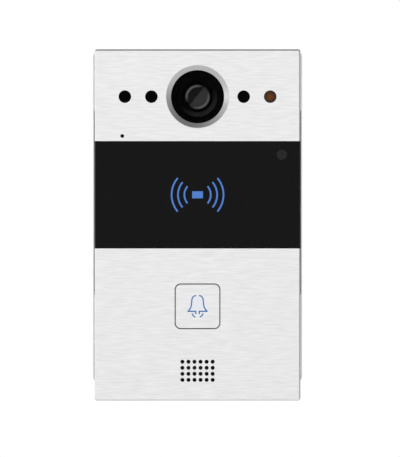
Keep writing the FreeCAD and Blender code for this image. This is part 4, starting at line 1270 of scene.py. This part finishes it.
@dataclass
class CableBay(SubAssembly):
    """Sockets and clamp in the bay that opens to the wall."""

    poles: int = 8
    pole_pitch: float = 0.00381
    plug_body: float = 0.0115
    plug_edge: float = 0.00025
    nose_side: float = 0.0012
    nose_root: float = 0.0005
    nose_back: float = 0.0076
    nose_edge: float = 0.0002
    well_drop: float = 0.0055
    well_radius: float = 0.00155
    well_depth: float = 0.0022
    entry: tuple[float, float] = (0.0026, 0.0030)
    entry_middle: float = 0.0083
    entry_depth: float = 0.0055
    entry_flare: float = 1.5
    groove: tuple[float, float] = (0.0003, 0.00035)
    clear: float = 0.001
    cable_radius: float = 0.0034
    saddle_edge: float = 0.0009
    hollow_wall: float = 0.0007
    hollow_depth: float = 0.0006
    tooth: tuple[float, float] = (0.0032, 0.0005)
    tooth_span: tuple[float, float] = (-0.0007, 0.0004)
    clamp_hole: float = 0.00115
    clamp_screw_x: float = 0.0115

    def dress(self) -> None:
        """Plated jack, green terminal, black clamp."""
        dress(["network_jack"], NICKEL)
        dress(["network_jack_contacts"], GOLD)
        dress(["network_jack_lamps"], LINK_LAMP)
        dress(["terminal_header"], GREEN)
        dress(["terminal_screws"], ZINC)

    def wiring_plug(self) -> None:
        """Pull-off plug: screw wells towards the wall, flared wire entries below, a rib between poles."""
        low, high = corners("terminal_plug")
        top = low.z + self.plug_body
        middle_x = (low.x + high.x) / 2
        first = middle_x - (self.poles - 1) / 2 * self.pole_pitch
        steps = [Vector((i * self.pole_pitch, 0, 0)) for i in range(1, self.poles)]
        work = Workpiece("wiring_plug", Body.STATION, "connector_green", ["terminal_plug"])
        work.cube(low, (high.x, high.y, top))
        work.soften(self.plug_edge, 2)
        nose = Workpiece("plug_nose", Body.STATION, "connector_green")
        nose.cube((low.x + self.nose_side, low.y + 0.01 * MM, top - self.nose_root),
                  (high.x - self.nose_side, -self.nose_back, high.z))
        nose.soften(self.nose_edge, 2)
        work.combine(nose, "UNION")
        well = Workpiece("well_cutter", Body.STATION, "connector_green")
        well.rod((first, high.y, top - self.well_drop), self.well_radius, 2 * self.well_depth, False)
        well.copies(steps)
        work.combine(well, "DIFFERENCE")
        entry = Workpiece("entry_cutter", Body.STATION, "connector_green")
        half_x, half_y = self.entry[0] / 2, self.entry[1] / 2
        entry.cube((first - half_x, -self.entry_middle - half_y, low.z - self.clear),
                   (first + half_x, -self.entry_middle + half_y, low.z + self.entry_depth))
        entry.facing(Side.UNDER)
        bpy.ops.transform.resize(value=(self.entry_flare, self.entry_flare, 1),
                                 center_override=(first, -self.entry_middle, low.z))
        entry.copies(steps)
        work.combine(entry, "DIFFERENCE")
        groove = Workpiece("groove_cutter", Body.STATION, "connector_green")
        edge = first + self.pole_pitch / 2
        width, depth = self.groove
        groove.cube((edge - width / 2, high.y - depth, low.z - self.clear),
                    (edge + width / 2, high.y + self.clear, top + self.clear))
        groove.copies(steps[:-1])
        work.combine(groove, "DIFFERENCE")
        work.finish(GREEN, 30)

    def saddle(self) -> None:
        """Clamp saddle with a hollow back, a cable channel with two teeth, and two screw holes."""
        low, high = corners("cable_clamp")
        centre = (low + high) / 2
        work = Workpiece("cable_saddle", Body.STATION, "black_plastic", ["cable_clamp"])
        work.cube(low, high)
        work.soften(self.saddle_edge, 4)
        work.facing(Side.WALL)
        work.sink(self.hollow_wall, self.hollow_depth, Side.WALL)
        channel = Workpiece("channel_cutter", Body.STATION, "black_plastic")
        span = high.z - low.z
        channel.rod((centre.x, low.y, centre.z), self.cable_radius, span * 1.2, True)
        work.combine(channel, "DIFFERENCE")
        half_x, half_z = self.tooth[0] / 2, self.tooth[1] / 2
        tip, root = (low.y + self.cable_radius + y for y in self.tooth_span)
        for tooth_z in (centre.z - span / 4, centre.z + span / 4):
            tooth = Workpiece("clamp_tooth", Body.STATION, "black_plastic")
            tooth.cube((centre.x - half_x, tip, tooth_z - half_z),
                       (centre.x + half_x, root, tooth_z + half_z))
            work.combine(tooth, "UNION")
        hole = Workpiece("hole_cutter", Body.STATION, "black_plastic")
        place = (centre.x - self.clamp_screw_x, centre.y, centre.z)
        hole.rod(place, self.clamp_hole, 2 * (high.y - low.y), False)
        hole.copies([Vector((2 * self.clamp_screw_x, 0, 0))])
        work.combine(hole, "DIFFERENCE")
        work.finish(BLACK_PLASTIC, 30)

    def build(self) -> None:
        """Makes the plug and the clamp."""
        self.wiring_plug()
        self.saddle()


@dataclass
class Bracket(SubAssembly):
    """Wall bracket and its locking screw."""

    def dress(self) -> None:
        """Stainless sheet and a plated screw."""
        dress(["wall_bracket"], STAINLESS)
        dress(["security_screw"], ZINC)


# ---------------------------------------------------------------- studio
@dataclass
class Studio:
    """Camera, light and floor."""

    distance: float = 3.0
    view_width: float = 0.2003
    aim: tuple[float, float] = (0.00123, -0.00173)
    sensor: float = 36.0
    slope: Colour = (-0.24, 0.0, -0.48)
    base_light: float = 0.62
    front_light: float = 0.79
    gap_angles: tuple[float, float] = (7.0, 4.0)
    gap_light: float = 0.10
    lamp_place: Colour = (-2.0, -0.45, 0.1)
    lamp_size: float = 0.6
    lamp_power: float = 1.4
    floor_z: float = -0.55
    floor_size: float = 5.0
    floor_glow: float = 0.42

    def camera(self) -> None:
        """Long lens straight in front of the face."""
        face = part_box("reader_window")[0][1]
        data = bpy.data.cameras.new("camera")
        data.sensor_fit = "HORIZONTAL"
        data.sensor_width = self.sensor
        data.lens = data.sensor_width * self.distance / self.view_width
        data.clip_end = 50.0
        eye = bpy.data.objects.new("camera", data)
        eye.location = (self.aim[0], face - self.distance, self.aim[1])
        eye.rotation_euler = (math.pi / 2, 0, 0)
        bpy.context.scene.collection.objects.link(eye)
        bpy.context.scene.camera = eye

    def surroundings(self) -> None:
        """White studio: brightest at the left, dimmer above and at the right, with a dark gap in front."""
        world = bpy.data.worlds.new("studio")
        bpy.context.scene.world = world
        world.use_nodes = True
        tree = world.node_tree
        tree.nodes.clear()
        new = tree.nodes.new
        link = tree.links.new
        where = new("ShaderNodeTexCoord").outputs["Generated"]

        def along(direction: Colour) -> Socket:
            """Component of the view direction along another.

            Args:
                direction: the other direction.

            Returns:
                The component.
            """
            node = new("ShaderNodeVectorMath")
            node.operation = "DOT_PRODUCT"
            link(where, node.inputs[0])
            node.inputs[1].default_value = direction
            return node.outputs["Value"]

        def combined(first: Socket, factor: float | Socket,
                     extra: float | Socket) -> Socket:
            """Product of two values, plus a third.

            Args:
                first: the first value.
                factor: what it is multiplied by.
                extra: what is added.

            Returns:
                The result.
            """
            node = new("ShaderNodeMath")
            node.operation = "MULTIPLY_ADD"
            for socket, value in zip(node.inputs, (first, factor, extra)):
                if isinstance(value, float):
                    socket.default_value = value
                else:
                    link(value, socket)
            return node.outputs["Value"]

        slope = along(self.slope)
        front = new("ShaderNodeClamp")
        link(along((0.0, -1.0, 0.0)), front.inputs["Value"])
        ahead = front.outputs["Result"]
        level = combined(ahead, combined(ahead, self.front_light, 0.0), combined(slope, 1.0, self.base_light))
        gap = new("ShaderNodeMapRange")
        gap.interpolation_type = "SMOOTHSTEP"
        link(along((0.0, -1.0, 0.0)), gap.inputs["Value"])
        for end, angle, light in zip(("Min", "Max"), self.gap_angles, (1.0, self.gap_light)):
            gap.inputs[f"From {end}"].default_value = math.cos(math.radians(angle))
            gap.inputs[f"To {end}"].default_value = light
        around = new("ShaderNodeBackground")
        link(combined(level, gap.outputs["Result"], 0.0), around.inputs["Strength"])
        behind = new("ShaderNodeBackground")
        behind.inputs["Color"].default_value = (1, 1, 1, 1)
        around.inputs["Color"].default_value = (1, 1, 1, 1)
        mix = new("ShaderNodeMixShader")
        link(new("ShaderNodeLightPath").outputs["Is Camera Ray"], mix.inputs["Fac"])
        link(around.outputs["Background"], mix.inputs[1])
        link(behind.outputs["Background"], mix.inputs[2])
        link(mix.outputs["Shader"], new("ShaderNodeOutputWorld").inputs["Surface"])

    def lamps(self) -> None:
        """One wide soft lamp at the left."""
        data = bpy.data.lights.new("soft_lamp", "AREA")
        data.shape = "DISK"
        data.size = self.lamp_size
        data.energy = self.lamp_power
        lamp = bpy.data.objects.new("soft_lamp", data)
        lamp.location = self.lamp_place
        lamp.rotation_euler = (-Vector(lamp.location)).to_track_quat("-Z", "Y").to_euler()
        bpy.context.scene.collection.objects.link(lamp)

    def floor(self) -> None:
        """Pale floor well below the panel."""
        deselect()
        bpy.ops.mesh.primitive_plane_add(size=self.floor_size, location=(0, 0, self.floor_z))
        floor = bpy.context.object
        floor.name = "studio_floor"
        recipe = Recipe("pale_floor")
        recipe.mottle(recipe.clouds(3, 2.0), (1.0, 1.0, 1.0), 0.90, 0.93)
        recipe.constant(Roughness=0.8, Emission_Color=(1.0, 1.0, 1.0), Emission_Strength=self.floor_glow)
        floor.data.materials.append(recipe.material)

    def build(self) -> None:
        """Sets up the whole studio."""
        bpy.context.scene.view_settings.view_transform = "Standard"
        self.camera()
        self.surroundings()
        self.lamps()
        self.floor()


def main() -> None:
    """Builds the studio and every sub-assembly."""
    logging.basicConfig(level=logging.INFO, format="%(message)s")
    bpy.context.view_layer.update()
    Studio().build()
    for part in (Face(), Camera(), SensorRow(), CallButton(), Speaker(), Housings(), Electronics(),
                 CableBay(), Bracket()):
        part.dress()
        part.build()


if __name__ == "__main__":
    main()
